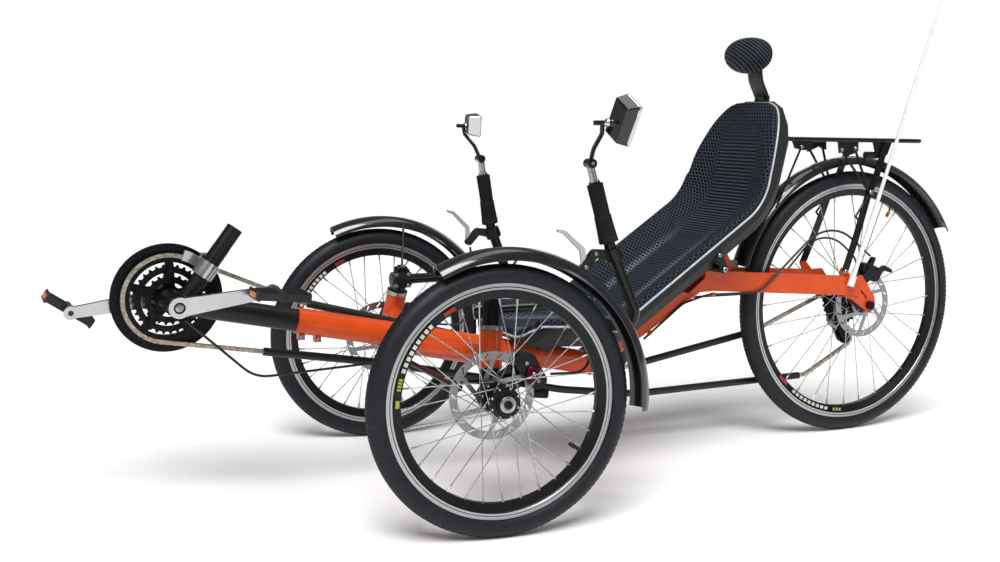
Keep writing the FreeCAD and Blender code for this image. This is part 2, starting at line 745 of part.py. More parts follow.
def crank_arms():
    """Spindle with a left and a right arm, their bolts sunk in the bosses."""
    left, right = CRANK_Y
    pieces = [rod(V(BB_X, -right - CRANK_T, BB_Z), V(BB_X, left + CRANK_T, BB_Z), SPINDLE_R)]
    holes = []
    for side, inner in ((1, left), (-1, right)):
        e = crank_end(side)
        y0, y1 = sorted((side * inner, side * (inner + CRANK_T)))
        pieces.append(rod(V(BB_X, y0, BB_Z), V(BB_X, y1, BB_Z), 19))
        pieces.append(link((BB_X, BB_Z), (e.x, e.z), 16.5, 10, y0, y1))
        pieces.append(rod(V(e.x, y0, e.z), V(e.x, y1, e.z), 12.5))
        face = side * (inner + CRANK_T)
        holes.append(rod(V(BB_X, face - side * 4, BB_Z), V(BB_X, face + side, BB_Z), 10.5))
        holes.append(rod(V(e.x, y0 - 1, e.z), V(e.x, y1 + 1, e.z), PEDAL_AXLE_R + RUN))
    return union(pieces).cut(holes)


def chainrings():
    """Three toothed rings on a five-armed spider, and the guard outside them."""
    rings = [toothed(r, y, RING_T, r - 16) for r, y in RINGS]
    sleeve = lathe([(-CRANK_Y[1] + GAP, SPINDLE_R + GAP), (-CRANK_Y[1] + GAP, 26), (-42, 26),
                    (-42, SPINDLE_R + GAP)])
    arms = []
    for k in range(5):
        a = math.radians(72 * k + 20)
        c, s = math.cos(a), math.sin(a)
        arms.append(link((20 * c, 20 * s), (64 * c, 64 * s), 12, 8, -54, -46))
        arms.append(link((50 * c, 50 * s), (67 * c, 67 * s), 8, 6.5, GUARD_Y, -50))
        arms.append(link((38 * c, 38 * s), (52 * c, 52 * s), 7, 6, -48, -34))
    guard = lathe([(GUARD_Y - 1.5, GUARD_R), (GUARD_Y + 1.5, GUARD_R), (GUARD_Y + 1.5, 70),
                   (GUARD_Y - 1.5, 70)])
    bore = rod(V(0, -100, 0), V(0, 0, 0), SPINDLE_R + GAP)
    return moved(union([sleeve] + arms + rings + [guard]).cut(bore), V(BB_X, 0, BB_Z))


PEDAL_TILT = {1: -5.0, -1: -34.0}
PEDAL_L = 95.0
PEDAL_W = 80.0
PEDAL_H = 19.0
PEDAL_TEETH = 9


def cage_bar(y0, y1, x0, x1):
    """Plate across the pedal with a row of teeth along its two edges."""
    upper = []
    for k in range(2 * PEDAL_TEETH + 1):
        z = PEDAL_H / 2 - (2.5 if k % 2 == 0 else 0.0)
        upper.append((y0 + (y1 - y0) * k / (2 * PEDAL_TEETH), z))
    lower = [(y, -z) for y, z in reversed(upper)]
    return prism_x(upper + lower, x0, x1)


def pedal(side):
    """Caged platform pedal on its axle."""
    e = crank_end(side)
    start = CRANK_Y[0] if side == 1 else CRANK_Y[1]
    inner = start + CRANK_T
    outer = inner + PEDAL_W + 6
    h = PEDAL_L / 2
    axle = rod(V(0, side * start, 0), V(0, side * (outer - 3), 0), PEDAL_AXLE_R)
    collar = rod(V(0, side * (inner + 0.5), 0), V(0, side * (outer - 3), 0), 9)
    y0, y1 = sorted((side * (inner + 6), side * outer))
    pieces = [axle, collar]
    for x0, x1 in ((-h, -h + 3), (h - 3, h)):
        pieces.append(cage_bar(y0, y1, x0, x1))
    for a, b in ((y0, y0 + 4), (y0 + 24, y0 + 28), (y1 - 28, y1 - 24), (y1 - 4, y1)):
        pieces.append(block(-h + 1, h - 1, a, b, -6.5, 6.5))
    body = union(pieces)
    body.rotate(V(0, 0, 0), Y, PEDAL_TILT[side])
    return moved(body, V(e.x, 0, e.z))


# ------------------------------------------------------------------ chain
def tangents(offset=0.0):
    """Where the chain's line, moved offset to its left, meets and leaves each round."""
    rounds = [(V(x, 0, z), r - s * offset, s) for x, z, r, s in CHAIN_ROUND]
    points = [[None, None] for _ in rounds]
    for i, (c1, r1, s1) in enumerate(rounds):
        j = (i + 1) % len(rounds)
        c2, r2, s2 = rounds[j]
        d = c2 - c1
        heading = math.atan2(d.z, d.x) - math.asin((s2 * r2 - s1 * r1) / d.Length)
        left = V(-math.sin(heading), 0, math.cos(heading))
        points[i][1] = c1 - left * (s1 * r1)
        points[j][0] = c2 - left * (s2 * r2)
    return rounds, points


def loop_wire(offset):
    """Closed wire of the chain's line, moved offset to its left."""
    rounds, points = tangents(offset)
    edges = []
    for i, (c, r, s) in enumerate(rounds):
        p, q = points[i]
        a0 = math.atan2(p.z - c.z, p.x - c.x)
        a1 = math.atan2(q.z - c.z, q.x - c.x)
        turn = (s * (a1 - a0)) % (2 * math.pi)
        mid = a0 + s * turn / 2
        edges.append(Part.Arc(p, c + V(r * math.cos(mid), 0, r * math.sin(mid)), q).toShape())
        edges.append(Part.makeLine(q, points[(i + 1) % len(rounds)][0]))
    return Part.Wire(edges)


def band(points, h, y0, y1):
    """Flat bar of height h through the points, cut square at both ends."""
    upper, lower = [], []
    for i, p in enumerate(points):
        a = points[max(i - 1, 0)]
        b = points[min(i + 1, len(points) - 1)]
        d = (b - a).normalize()
        n = V(-d.z, 0, d.x)
        upper.append(p + n * (h / 2))
        lower.append(p - n * (h / 2))
    return prism_y([(p.x, p.z) for p in upper + lower[::-1]], y0, y1)


def chain():
    """One closed loop: two rows of side plates, filled between the toothed wheels."""
    outer, inner = Part.Face(loop_wire(-CHAIN_H / 2)), Part.Face(loop_wire(CHAIN_H / 2))
    ribbon = outer.cut(inner)
    pieces = []
    for y in (CHAIN_Y - CHAIN_GAP / 2 - CHAIN_PLATE_T, CHAIN_Y + CHAIN_GAP / 2):
        pieces.append(moved(ribbon, V(0, y, 0)).extrude(V(0, CHAIN_PLATE_T, 0)))
    points = tangents()[1]
    y0, y1 = CHAIN_Y - CHAIN_GAP / 2 - 0.5, CHAIN_Y + CHAIN_GAP / 2 + 0.5
    for i, j, before, after in ((RING, FRONT_MOUTH, 45, 5), (REAR_MOUTH, COG, 5, 30),
                                (TENSION, LOW_REAR, 5, 5), (10, RING, 5, 45),
                                (FRONT_MOUTH, IDLER, 5, 5), (LOW_REAR, 8, 5, 5)):
        p, q = points[i][1], points[j][0]
        d = (q - p).normalize()
        pieces.append(band([p + d * before, q - d * after], CHAIN_H - 1.5, y0, y1))
    return union(pieces)


def run_wire(i, j, start, end):
    """The chain's line from round i's exit to round j's entry, shortened at both ends."""
    rounds, points = tangents()
    edges = []
    at = points[i][1]
    at = at + (points[i + 1][0] - at).normalize() * start
    for k in range(i + 1, j):
        c, r, s = rounds[k]
        p, q = points[k]
        a0 = math.atan2(p.z - c.z, p.x - c.x)
        turn = (s * (math.atan2(q.z - c.z, q.x - c.x) - a0)) % (2 * math.pi)
        mid = a0 + s * turn / 2
        edges.append(Part.makeLine(at, p))
        edges.append(Part.Arc(p, c + V(r * math.cos(mid), 0, r * math.sin(mid)), q).toShape())
        at = q
    last = points[j % len(rounds)][0]
    edges.append(Part.makeLine(at, last + (at - last).normalize() * end))
    return Part.Wire(edges)


def chain_tube(i, j, start, end):
    """Tube round the chain between two of its rounds."""
    path = run_wire(i, j, start, end)
    path.translate(Y * CHAIN_Y)
    p = path.OrderedVertexes[0].Point
    d = path.OrderedEdges[0].tangentAt(path.OrderedEdges[0].FirstParameter)
    solids = []
    for r in (TUBE_R, TUBE_R - TUBE_WALL):
        section = Part.Wire(Part.makeCircle(r, p, d))
        solids.append(path.makePipeShell([section], True, False))
    return solids[0].cut(solids[1])


def chain_tubes():
    """Plastic tubes round the chain, and the idler with its bracket."""
    tubes = [chain_tube(FRONT_MOUTH, IDLER, 2, 60), chain_tube(IDLER, REAR_MOUTH, 60, 5),
             chain_tube(LOW_REAR, len(CHAIN_ROUND), 5, TUBE_TO_RING)]
    x, z = CHAIN_ROUND[IDLER][:2]
    r = CHAIN_ROUND[IDLER][2] - CHAIN_H / 2 - 0.5
    wheel = rod(V(x, CHAIN_Y - 5, z), V(x, CHAIN_Y + 5, z), r)
    pin = rod(V(x, CHAIN_Y - 8, z), V(x, CHAIN_Y + 16, z), 5)
    arm = link((x, z), (x + 16, z + 62), 10, 12, CHAIN_Y + 8, CHAIN_Y + 14)
    foot = rod(V(x + 16, CHAIN_Y + 8, z + 62), V(x + 16, 0, z + 62), 9)
    return group(tubes + [union([wheel, pin, arm, foot]).cut(frame_core(GAP))])


def front_derailleur():
    """Cage over the big ring, on a band round the post."""
    d = (POST_TOP - POST_BASE).normalize()
    p = POST_BASE + d * 62
    clamp = pipe(p - d * 10, p + d * 20, 20, POST_R + GAP)
    arm = block(-8, 8, -40, -17, -8, 22)
    arm.translate(p + d * 10)
    cage = []
    for y in (CHAIN_Y - 8, CHAIN_Y + 6.5):
        face = polygon([V(76, y, 0), V(96, y, 0), V(96, y + 1.4, 0), V(76, y + 1.4, 0)])
        face.rotate(V(0, 0, 0), Y, -108)
        cage.append(moved(face.revolve(V(0, 0, 0), -Y, 36), V(BB_X, 0, BB_Z)))
    bridge = block(-8, 4, CHAIN_Y - 8, -38, 12, 22)
    bridge.translate(p + d * 10)
    return union([clamp, arm, bridge] + cage)


def rear_derailleur():
    """Hanger, parallelogram and a two-pulley cage."""
    gx, gz = CHAIN_ROUND[GUIDE][:2]
    tx, tz = CHAIN_ROUND[TENSION][:2]
    root, pivot, elbow = from_rear([(-16, -20), (-27, -39), (-43, -65)])
    hanger = links([root, pivot], [10, 12], -86, -DROPOUT_IN - DROPOUT_T - GAP)
    body = links([pivot, elbow, (gx - 4, gz - 4)], [13, 12, 12], -74, -62)
    joint = rod(V(pivot[0], -86, pivot[1]), V(pivot[0], -66, pivot[1]), 10)
    outer = links([(gx, gz), (tx, tz)], [12, 12], -62.5, CHAIN_Y - 6)
    inner = links([(gx, gz), (tx, tz)], [11, 11], CHAIN_Y + 5.5, CHAIN_Y + 7.5)
    pins = []
    for x, z in ((gx, gz), (tx, tz)):
        pins.append(rod(V(x, -60, z), V(x, CHAIN_Y + 7.5, z), 4))
        pins.append(rod(V(x, CHAIN_Y - 1.5, z), V(x, CHAIN_Y + 1.5, z), 15))
    return union([hanger, body, joint, outer, inner] + pins)


# ------------------------------------------------------------------ seat
def across(depth, half_w):
    """The dish from right to left, depth below the sitting surface."""
    x, z = SEAT_PATH[0]
    flat = half_w * 0.38
    mid = (half_w + flat) / 2
    rises = ((-half_w, DISH), (-mid, DISH * 0.32), (-flat, 0.0),
             (flat, 0.0), (mid, DISH * 0.32), (half_w, DISH))
    return [V(x, y, z + rise - depth) for y, rise in rises]


def dish_edges(row):
    return [Part.Arc(*row[:3]).toShape(), Part.makeLine(row[2], row[3]),
            Part.Arc(*row[3:]).toShape()]


def pad_section():
    """Pad of even thickness that follows the dish."""
    a, b = across(0.0, SEAT_HALF_W - 2), across(PAD_T, SEAT_HALF_W - 2)
    return Part.Wire(dish_edges(a) + [Part.makeLine(a[5], b[5])] + dish_edges(b[::-1])
                     + [Part.makeLine(b[0], a[0])])


def shell_section(depth, extra=0.0):
    """Tray from the dish at a depth down to a flat base, grown outwards by extra."""
    w = SEAT_HALF_W + extra
    row = across(depth, w)
    base = SEAT_PATH[0][1] - PAD_T - GAP - SHELL_T - extra
    side = SEAT_PATH[0][1] + DISH - SEAT_SIDE - extra
    x = SEAT_PATH[0][0]
    corners = [row[5], V(x, w, side), V(x, w - SEAT_CHAMFER, base),
               V(x, SEAT_CHAMFER - w, base), V(x, -w, side), row[0]]
    return Part.Wire(dish_edges(row) + [Part.makeLine(p, q)
                                        for p, q in zip(corners, corners[1:])])


def seat_layer(section, extra=0.0):
    """A section carried along the seat's side line and cut to its front and plan views."""
    path = fillet_path([V(x, 0, z) for x, z in SEAT_PATH], SEAT_BENDS)
    body = path.makePipeShell([section], True, False)
    front = [(w + extra, z) for w, z in SEAT_TOP]
    plan = [(w + extra, x) for w, x in SEAT_FRONT]
    front += [(-w, z) for w, z in reversed(front)]
    plan += [(-w, x) for w, x in reversed(plan)]
    outline = polygon([V(x, w, 0) for w, x in plan]).extrude(Z * 1000)
    return body.common(prism_x(front, -950, 50)).common(outline)


def seat_shell():
    return seat_layer(shell_section(PAD_T + GAP))


def seat_pad():
    return seat_layer(pad_section(), -2)


def seat_brackets():
    """Front saddle on the main tube, rear yoke on the beam, and the headrest's stem."""
    core = frame_core(GAP)
    front = prism_y([(-262, 240), (-238, 240), (-230, 294), (-270, 288)], -22, 22)
    yoke = prism_y([(-668, 400), (-600, 372), (-590, 446), (-640, 506), (-668, 490)], -14, 14)
    shell = seat_layer(shell_section(-60, GAP), GAP)
    pieces = [yoke, rod(V(-606, -160, 427), V(-606, 160, 427), 9)]
    for side in (1, -1):
        y0, y1 = sorted((side * 156, side * 160.0))
        pieces.append(link((-606, 427), (-592, 458), 9, 9, y0, y1))
    stem = band([V(-777, 0, 655), V(-787.5, 0, 700), V(-808.3, 0, 790), V(-806, 0, 806),
                 V(-791, 0, 836), V(-786, 0, 872), V(-780, 0, 890)], 5, -12.5, 12.5)
    return group([front.cut(core).cut(shell), union(pieces).cut(core).cut(shell),
                  stem.cut(shell).cut(headrest_pad(GAP))])


def headrest_pad(extra=0.0):
    ball = Part.makeSphere(1.0)
    scale = FreeCAD.Matrix()
    scale.scale(37 + extra, 75 + extra, 39 + extra)
    return moved(ball.transformGeometry(scale), V(-766, 0, 896))


# ------------------------------------------------------------------ rear fittings
RACK_Z = REAR_TYRE_R + 391.0
RACK_FRONT = 240.0 - WHEELBASE
RACK_REAR = -165.0 - WHEELBASE
RACK_HALF_W = 58.0
CROSS_BARS = (205, 115, 25, -65, -135)
BAR_INSET = 3.0
RACK_TABS = (  # corners from the rear axle
    ((230, 389), (174, 389), (172, 369), (196, 366), (222, 370)),
    ((97, 389), (37, 389), (36, 365), (60, 373), (92, 360)),
    ((-9, 389), (-67, 389), (-53, 357), (-22, 349)),
)
LEG_LINE = ((-46, 386), (-12, 297), (7, 269), (28, 210), (48, 157), (79, 84))
LEG_W = 17.0
LEG_LEAN = 3.1


def rack_side():
    """Left half of the carrier's tabs, leg and struts; the leg leans in towards the deck."""
    w = RACK_HALF_W
    foot_y = DROPOUT_IN + DROPOUT_T + GAP
    line = [V(x, 0, z) for x, z in from_rear(LEG_LINE)]
    foot, knee = line[-1], line[2]
    leg = spun(band(line, LEG_W, foot_y, foot_y + 4), V(0, foot_y, foot.z), X, LEG_LEAN)

    def in_leg(x, z):
        p = V(x - WHEELBASE, foot_y + 2, z + REAR_TYRE_R)
        p.y -= (p.z - foot.z) * math.tan(math.radians(LEG_LEAN))
        return p

    joint = in_leg(knee.x + WHEELBASE, knee.z - REAR_TYRE_R)
    tabs = [prism_y(from_rear(t), w - 3, w + 2) for t in RACK_TABS]
    tab_bolts = [V(x - WHEELBASE, w, z + REAR_TYRE_R) for x, z in ((87, 368), (46, 372))]
    struts = [rod(p, joint, 3) for p in tab_bolts]
    hook = [in_leg(8, 262), in_leg(47, 212), in_leg(33, 196)]
    struts += [rod(hook[0], hook[1], 2.5), rod(hook[1], hook[2], 2.5),
               Part.makeSphere(2.5, hook[1])]
    brace = rod(V(205 - WHEELBASE, w, REAR_TYRE_R + 371), V(247 - WHEELBASE, 33.5,
                REAR_TYRE_R + 241), 2.5)
    pin = rod(joint - Y * 5, joint + Y * 6, 7)
    return tabs + [leg, pin, brace] + struts


def rack():
    """Carrier deck of round bar with its front hoop, legs to the stays and lamp holder."""
    z, w = RACK_Z, RACK_HALF_W
    deck = bent_rod([V(RACK_FRONT + 40, 0, z + 26), V(RACK_FRONT, w, z), V(RACK_REAR, w, z),
                     V(RACK_REAR, -w, z), V(RACK_FRONT, -w, z), V(RACK_FRONT + 40, -2, z + 26)],
                    5.0, 18.0)
    end = w - BAR_INSET
    bars = [rod(V(x - WHEELBASE, -end, z), V(x - WHEELBASE, end, z), 4) for x in CROSS_BARS]
    lamp_at = V(8 - WHEELBASE, w - 6, REAR_TYRE_R + 356)
    lamp = rod(lamp_at, lamp_at - X * 34, 8.5)
    side = rack_side()
    return union([deck, lamp] + bars + side + [mirrored(s) for s in side])


REAR_FENDER_R = REAR_TYRE_R + 37.0
REAR_FENDER_DROP = 17.0


def rear_fender():
    """Rear mudguard with a foot on the end of the beam."""
    strip = fender_strip(rear_centre(), REAR_FENDER_R, 28.0, REAR_FENDER_DROP, 16.5, 150.5)
    end = on_beam(BEAM_TOP_X)
    tip = rear_centre().x + REAR_FENDER_R * math.cos(math.radians(16.5))
    foot = block(tip - 4, end.x + 12, -9, 9, end.z - 24, end.z - 6)
    return union([strip, foot.cut(frame_core(GAP))])


def rear_caliper():
    """Cable disc caliper above the rear axle, with its lever and cable stop."""
    y = REAR_DISC_Y
    c = rear_centre()
    body = links(from_rear([(-27, 71), (-5, 83)]), [18, 16], y - 13, y + 12)
    ear = links(from_rear([(-11, 77), (21, 47)]), [12, 12], y + 8, DROPOUT_IN - GAP)
    lever = links(from_rear([(-27, 71), (-52, 86), (-73, 78)]), [9, 6, 4.5], y + 9, y + 15)
    stop = links(from_rear([(-8, 88), (-20, 108)]), [7, 5], y + 4, y + 14)
    slot = rod(V(c.x, y - 2.8, c.z), V(c.x, y + 2.8, c.z), DISC_R + 4)
    return union([body.cut(slot), ear, lever, stop])


CABLE_R = 2.5
CABLE_RUNS = (  # corners and the radius at each
    ((V(484, -12, 352), V(351, -20, 231), V(112, -20, 243), V(84, -16, 279)), (70.0, 28.0)),
    ((V(-490, 28.5, 262), V(-590, 28.5, 336), V(-640, 48, 356), V(-770, 67, 358),
      V(-961, 71, 524), V(-1095, 62, 431)), (40.0, 60.0, 60.0, 110.0)),
    ((V(-490, -28.5, 262), V(-590, -28.5, 332), V(-650, -50, 336), V(-905, -76, 332),
      V(-1078, -90, 492), V(-1196, -90, 398), V(-1152, -86, 268)),
     (40.0, 60.0, 80.0, 100.0, 45.0)),
)
BRAKE_RUN = (V(-198, 297, 447), V(-214, 300, 330), V(-186, 305, 264), V(-116, 310, 268))


def cables():
    """Housings clipped along the frame to both derailleurs and the rear caliper."""
    return group([bent_rod(points, CABLE_R, bends) for points, bends in CABLE_RUNS])


def brake_cable():
    """Front brake's housing, from the lever's perch down to the caliper."""
    return bent_rod(BRAKE_RUN, CABLE_R, (60.0, 30.0))


POLE_BASE = V(69 - WHEELBASE, 88.5, REAR_TYRE_R + 51)
POLE_TIP = V(-269 - WHEELBASE, 88.5, REAR_TYRE_R + 985)


def flag_pole():
    """Tapered whip in a socket beside the left dropout."""
    d = POLE_TIP - POLE_BASE
    whip = Part.makeCone(5.5, 1.6, d.Length, POLE_BASE, d)
    u = d.normalize()
    socket = rod(POLE_BASE - u * 2, POLE_BASE + u * 24, 8)
    return union([whip, socket])


# ------------------------------------------------------------------ assembly
def left_side(roll):
    parts = {
        "knuckle": knuckle(), "handlebar": handlebar(), "grip": grip(),
        "brake_lever": brake_lever(), "mirror_arm": mirror_arm(roll), "mirror": mirror(roll),
        "fender": fender(), "caliper": caliper(), "brake_cable": brake_cable(),
    }
    parts.update(front_wheel())
    return parts


def steered(shape, side):
    """Turn a straight-ahead piece to the pose in which the trike is kept."""
    return spun(shape, on_pin(PIN_POINT.z, side), pin_axis(side), REST_STEER)


def steered_rod(shape):
    """Carry the tie rod to where the turned steering arms hold its two ends."""
    ends = []
    for side in (1, -1):
        ends.append(steered(Part.Vertex(rod_end(side)), side).Point)
    was, now = rod_end(-1) - rod_end(1), ends[1] - ends[0]
    s = shape.copy()
    s.translate(-rod_end(1))
    turn = FreeCAD.Rotation(was, now)
    s.rotate(V(0, 0, 0), turn.Axis, math.degrees(turn.Angle))
    s.translate(ends[0])
    return s


def build():
    parts = {}
    for name, s in left_side(MIRROR_ROLL[1]).items():
        parts[name + "_left"] = steered(s, 1)
    for name, s in left_side(MIRROR_ROLL[-1]).items():
        parts[name + "_right"] = steered(mirrored(s), -1)
    parts.update(rear_wheel())
    parts.update({
        "main_frame": main_frame(), "boom": boom(), "rear_stays": group([stay(1), stay(-1)]),
        "rear_axle": rear_axle(), "tie_rod": steered_rod(tie_rod()),
        "crank_arms": crank_arms(), "chainrings": chainrings(),
        "pedal_left": pedal(1), "pedal_right": pedal(-1),
        "chain": chain(), "chain_tubes": chain_tubes(),
        "front_derailleur": front_derailleur(), "rear_derailleur": rear_derailleur(),
        "seat_shell": seat_shell(), "seat_pad": seat_pad(), "seat_brackets": seat_brackets(),
        "headrest_pad": headrest_pad(), "rack": rack(), "rear_fender": rear_fender(),
        "rear_caliper": rear_caliper(), "flag_pole": flag_pole(), "cables": cables(),
    })
    return parts


def origin_shift(parts):
    """Vector that brings the bounding box's bottom centre to the origin."""
    box = FreeCAD.BoundBox()
    for s in parts.values():
        box.add(s.optimalBoundingBox(True, False))
    return V(-box.Center.x, -box.Center.y, -box.ZMin)


def main():
    os.makedirs("parts", exist_ok=True)
    parts = build()
    shift = origin_shift(parts)
    for name, s in parts.items():
        moved(s, shift).exportStep("parts/%s.step" % name)


if __name__ == "__main__":
    main()
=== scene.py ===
"""Looks of a recumbent tadpole trike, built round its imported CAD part.

Everything is laid out in millimetres in the trike's own frame, +X forward, +Y to the
rider's left, +Z up, from the ground under the middle of the front axle line. The rear
tyre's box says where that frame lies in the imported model.
"""
import math

import bmesh
import bpy
import numpy as np
from mathutils import Matrix, Vector


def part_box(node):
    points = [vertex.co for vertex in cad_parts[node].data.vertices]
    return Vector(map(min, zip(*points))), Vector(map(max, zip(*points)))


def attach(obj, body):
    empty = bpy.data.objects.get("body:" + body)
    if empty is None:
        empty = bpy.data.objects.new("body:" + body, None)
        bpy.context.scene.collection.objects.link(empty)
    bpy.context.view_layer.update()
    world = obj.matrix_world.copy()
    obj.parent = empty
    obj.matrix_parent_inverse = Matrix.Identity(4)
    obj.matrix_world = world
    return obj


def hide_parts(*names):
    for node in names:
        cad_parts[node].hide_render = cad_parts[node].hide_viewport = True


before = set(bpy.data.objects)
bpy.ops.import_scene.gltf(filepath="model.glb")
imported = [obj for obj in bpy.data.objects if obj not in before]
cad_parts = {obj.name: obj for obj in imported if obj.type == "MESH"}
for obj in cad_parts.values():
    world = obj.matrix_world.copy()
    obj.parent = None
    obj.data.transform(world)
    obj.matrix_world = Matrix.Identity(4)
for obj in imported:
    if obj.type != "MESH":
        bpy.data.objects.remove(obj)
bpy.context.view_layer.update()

MM = 0.001
WHEELBASE = 1085.0
REAR_TYRE_R = 315.0
low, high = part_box("rear_tyre")
ORIGIN = np.array([(low.x + high.x) / 2 / MM + WHEELBASE, (low.y + high.y) / 2 / MM,
                   (low.z + high.z) / 2 / MM - REAR_TYRE_R])

FRONT_TYRE_R = 241.0
TYRE_SECTION_R = 20.5
FRONT_FLANGE_R = 209.5
REAR_FLANGE_R = 286.0
RIM_HALF_W = 12.5
RIM_DEPTH = 28.5
SPOKE_COUNT = 32
CAMBER = math.radians(1.4)
HALF_TRACK = 367.5
PIN_POINT = np.array([-15.0, 266.0, 315.0])
PIN_LEAN_IN = math.radians(13.7)
CASTOR = math.radians(6.5)
REST_STEER = math.radians(-6.2)
BB = np.array([508.0, 0.0, 388.0])
Y = np.array([0.0, 1.0, 0.0])


# ------------------------------------------------------------------ places
def unit(v):
    """The vector, or each row of an array, at length 1."""
    v = np.asarray(v, float)
    return v / np.linalg.norm(v, axis=-1, keepdims=True)


def turn(axis, angle):
    """4x4 turn by angle about an axis through the origin (Rodrigues' formula)."""
    x, y, z = unit(axis)
    k = np.array([[0, -z, y], [z, 0, -x], [-y, x, 0]])
    m = np.eye(4)
    m[:3, :3] += math.sin(angle) * k + (1 - math.cos(angle)) * k @ k
    return m


def shift(x, y, z):
    m = np.eye(4)
    m[:3, 3] = x, y, z
    return m


REST = np.eye(4)
FLIP = np.diag([1.0, -1.0, 1.0, 1.0])


def steering(side):
    """Straight-ahead left side to the turned pose of that side."""
    pin = PIN_POINT * (1, side, 1)
    axis = (-math.tan(CASTOR), -side * math.tan(PIN_LEAN_IN), 1)
    about = shift(*pin) @ turn(axis, REST_STEER) @ shift(*-pin)
    return about if side > 0 else about @ FLIP


def wheel_height():
    return (FRONT_TYRE_R - TYRE_SECTION_R) * math.cos(CAMBER) + TYRE_SECTION_R


ON_AXLE = shift(0, HALF_TRACK, wheel_height()) @ turn((1, 0, 0), CAMBER)
SIDES = {"left": steering(1), "right": steering(-1)}
WHEELS = {
    "front_wheel_left": SIDES["left"] @ ON_AXLE,
    "front_wheel_right": SIDES["right"] @ ON_AXLE,
    "rear_wheel": shift(-WHEELBASE, 0, REAR_TYRE_R),
}


# ------------------------------------------------------------------ shapes
class Shape:
    """Points in millimetres with four-sided faces, and a few faces of any other count."""

    def __init__(self, points, quads, others=(), uv=None):
        self.points = np.asarray(points, float).reshape(-1, 3)
        self.quads = np.asarray(quads, int).reshape(-1, 4)
        self.others = [list(f) for f in others]
        self.uv = uv


def weave(rows, cols, close_rows=False, close_cols=False):
    """Quads of a grid whose point (r, c) has index r * cols + c."""
    r = np.arange(rows if close_rows else rows - 1)[:, None]
    c = np.arange(cols if close_cols else cols - 1)[None, :]
    r1, c1 = (r + 1) % rows, (c + 1) % cols
    return np.stack([r * cols + c, r1 * cols + c, r1 * cols + c1, r * cols + c1], -1).reshape(-1, 4)


def joined(shapes):
    points, quads, others, count = [], [], [], 0
    for s in shapes:
        points.append(s.points)
        quads.append(s.quads + count)
        others += [[i + count for i in f] for f in s.others]
        count += len(s.points)
    return Shape(np.concatenate(points), np.concatenate(quads), others)


def placed(s, matrix):
    return Shape(s.points @ matrix[:3, :3].T + matrix[:3, 3], s.quads, s.others, s.uv)


def copies(s, matrices):
    """The shape once at each of the matrices."""
    m = np.asarray(matrices)
    points = np.einsum("kij,nj->kni", m[:, :3, :3], s.points) + m[:, None, :3, 3]
    step = np.arange(len(m))[:, None, None] * len(s.points)
    others = [[i + k * len(s.points) for i in f] for k in range(len(m)) for f in s.others]
    return Shape(points, s.quads[None] + step, others)


def around(count, start):
    """Turns about +Y that share out a full circle."""
    return [turn(Y, start + 2 * math.pi * k / count) for k in range(count)]


def about_y(a, y, r):
    """Points (r cos a, y, r sin a)."""
    return np.stack(np.broadcast_arrays(r * np.cos(a), y, r * np.sin(a)), -1)


def lathe(profile, sides):
    """Surface of revolution about +Y of a profile of points (y, r)."""
    y, r = np.asarray(profile, float).T[:, :, None]
    a = np.linspace(0, 2 * math.pi, sides, endpoint=False)
    return Shape(about_y(a, y, r), weave(len(y), sides, close_cols=True))


def ring(profile, sides):
    """The same, for a closed profile that goes round a section of its own."""
    s = lathe(profile, sides)
    return Shape(s.points, weave(len(profile), sides, close_rows=True, close_cols=True))


def end_caps(rows, cols):
    """The faces that close a grid's first and last row."""
    return [list(range(cols)), list(range((rows - 1) * cols, rows * cols))]


def tube(path, radius, sides, up):
    """Round section carried round a closed path: at each point it lies square to the
    path's direction t, on the axes n = t x up and b = t x n."""
    p = np.asarray(path, float)
    t = unit(np.roll(p, -1, 0) - np.roll(p, 1, 0))
    n = unit(np.cross(t, up))
    b = np.cross(t, n)
    a = np.linspace(0, 2 * math.pi, sides, endpoint=False)[:, None]
    points = p[:, None] + radius * (n[:, None] * np.cos(a) + b[:, None] * np.sin(a))
    return Shape(points, weave(len(p), sides, True, True))


def curve(points, steps):
    """Catmull-Rom curve through the points: each stretch is the cubic that leaves and
    arrives along the line between its neighbours."""
    p = np.asarray(points, float)
    p = np.concatenate([[2 * p[0] - p[1]], p, [2 * p[-1] - p[-2]]])
    t = np.linspace(0, 1, steps, endpoint=False)[:, None]
    a, b, c, d = p[:-3, None], p[1:-2, None], p[2:-1, None], p[3:, None]
    run = 0.5 * (2 * b + (c - a) * t + (2 * a - 5 * b + 4 * c - d) * t ** 2
                 + (3 * b - a - 3 * c + d) * t ** 3)
    return np.concatenate([run.reshape(-1, p.shape[1]), p[-2:-1]])


def superellipse(a, b, power, count=48):
    """Rounded rectangle |y / a|^n + |z / b|^n = 1."""
    t = np.linspace(0, 2 * math.pi, count, endpoint=False)
    c, s = np.cos(t), np.sin(t)
    r = (np.abs(c) ** power + np.abs(s) ** power) ** (-1 / power)
    return np.stack([a * c * r, b * s * r], -1)


def plate(outline, y0, y1, edge):
    """Flat plate with the XZ outline from y0 to y1, its rims eased by edge."""
    o = np.asarray(outline, float)
    centre = o.mean(0)
    inset = centre + (o - centre) * (1 - edge / np.linalg.norm(o - centre, axis=1).mean())
    rows = [(inset, y0), (o, y0 + edge), (o, y1 - edge), (inset, y1)]
    points = np.stack([np.stack([q[:, 0], np.full(len(q), y), q[:, 1]], -1) for q, y in rows])
    return Shape(points, weave(4, len(o), close_cols=True), end_caps(4, len(o)))


def aim(point, direction):
    """Place that carries +Y to the direction at the point."""
    d = unit(direction)
    axis = np.cross(Y, d)
    if np.linalg.norm(axis) < 1e-9:
        return shift(*point) @ (np.eye(4) if d[1] > 0 else turn((1, 0, 0), math.pi))
    return shift(*point) @ turn(axis, math.acos(np.clip(d[1], -1, 1)))


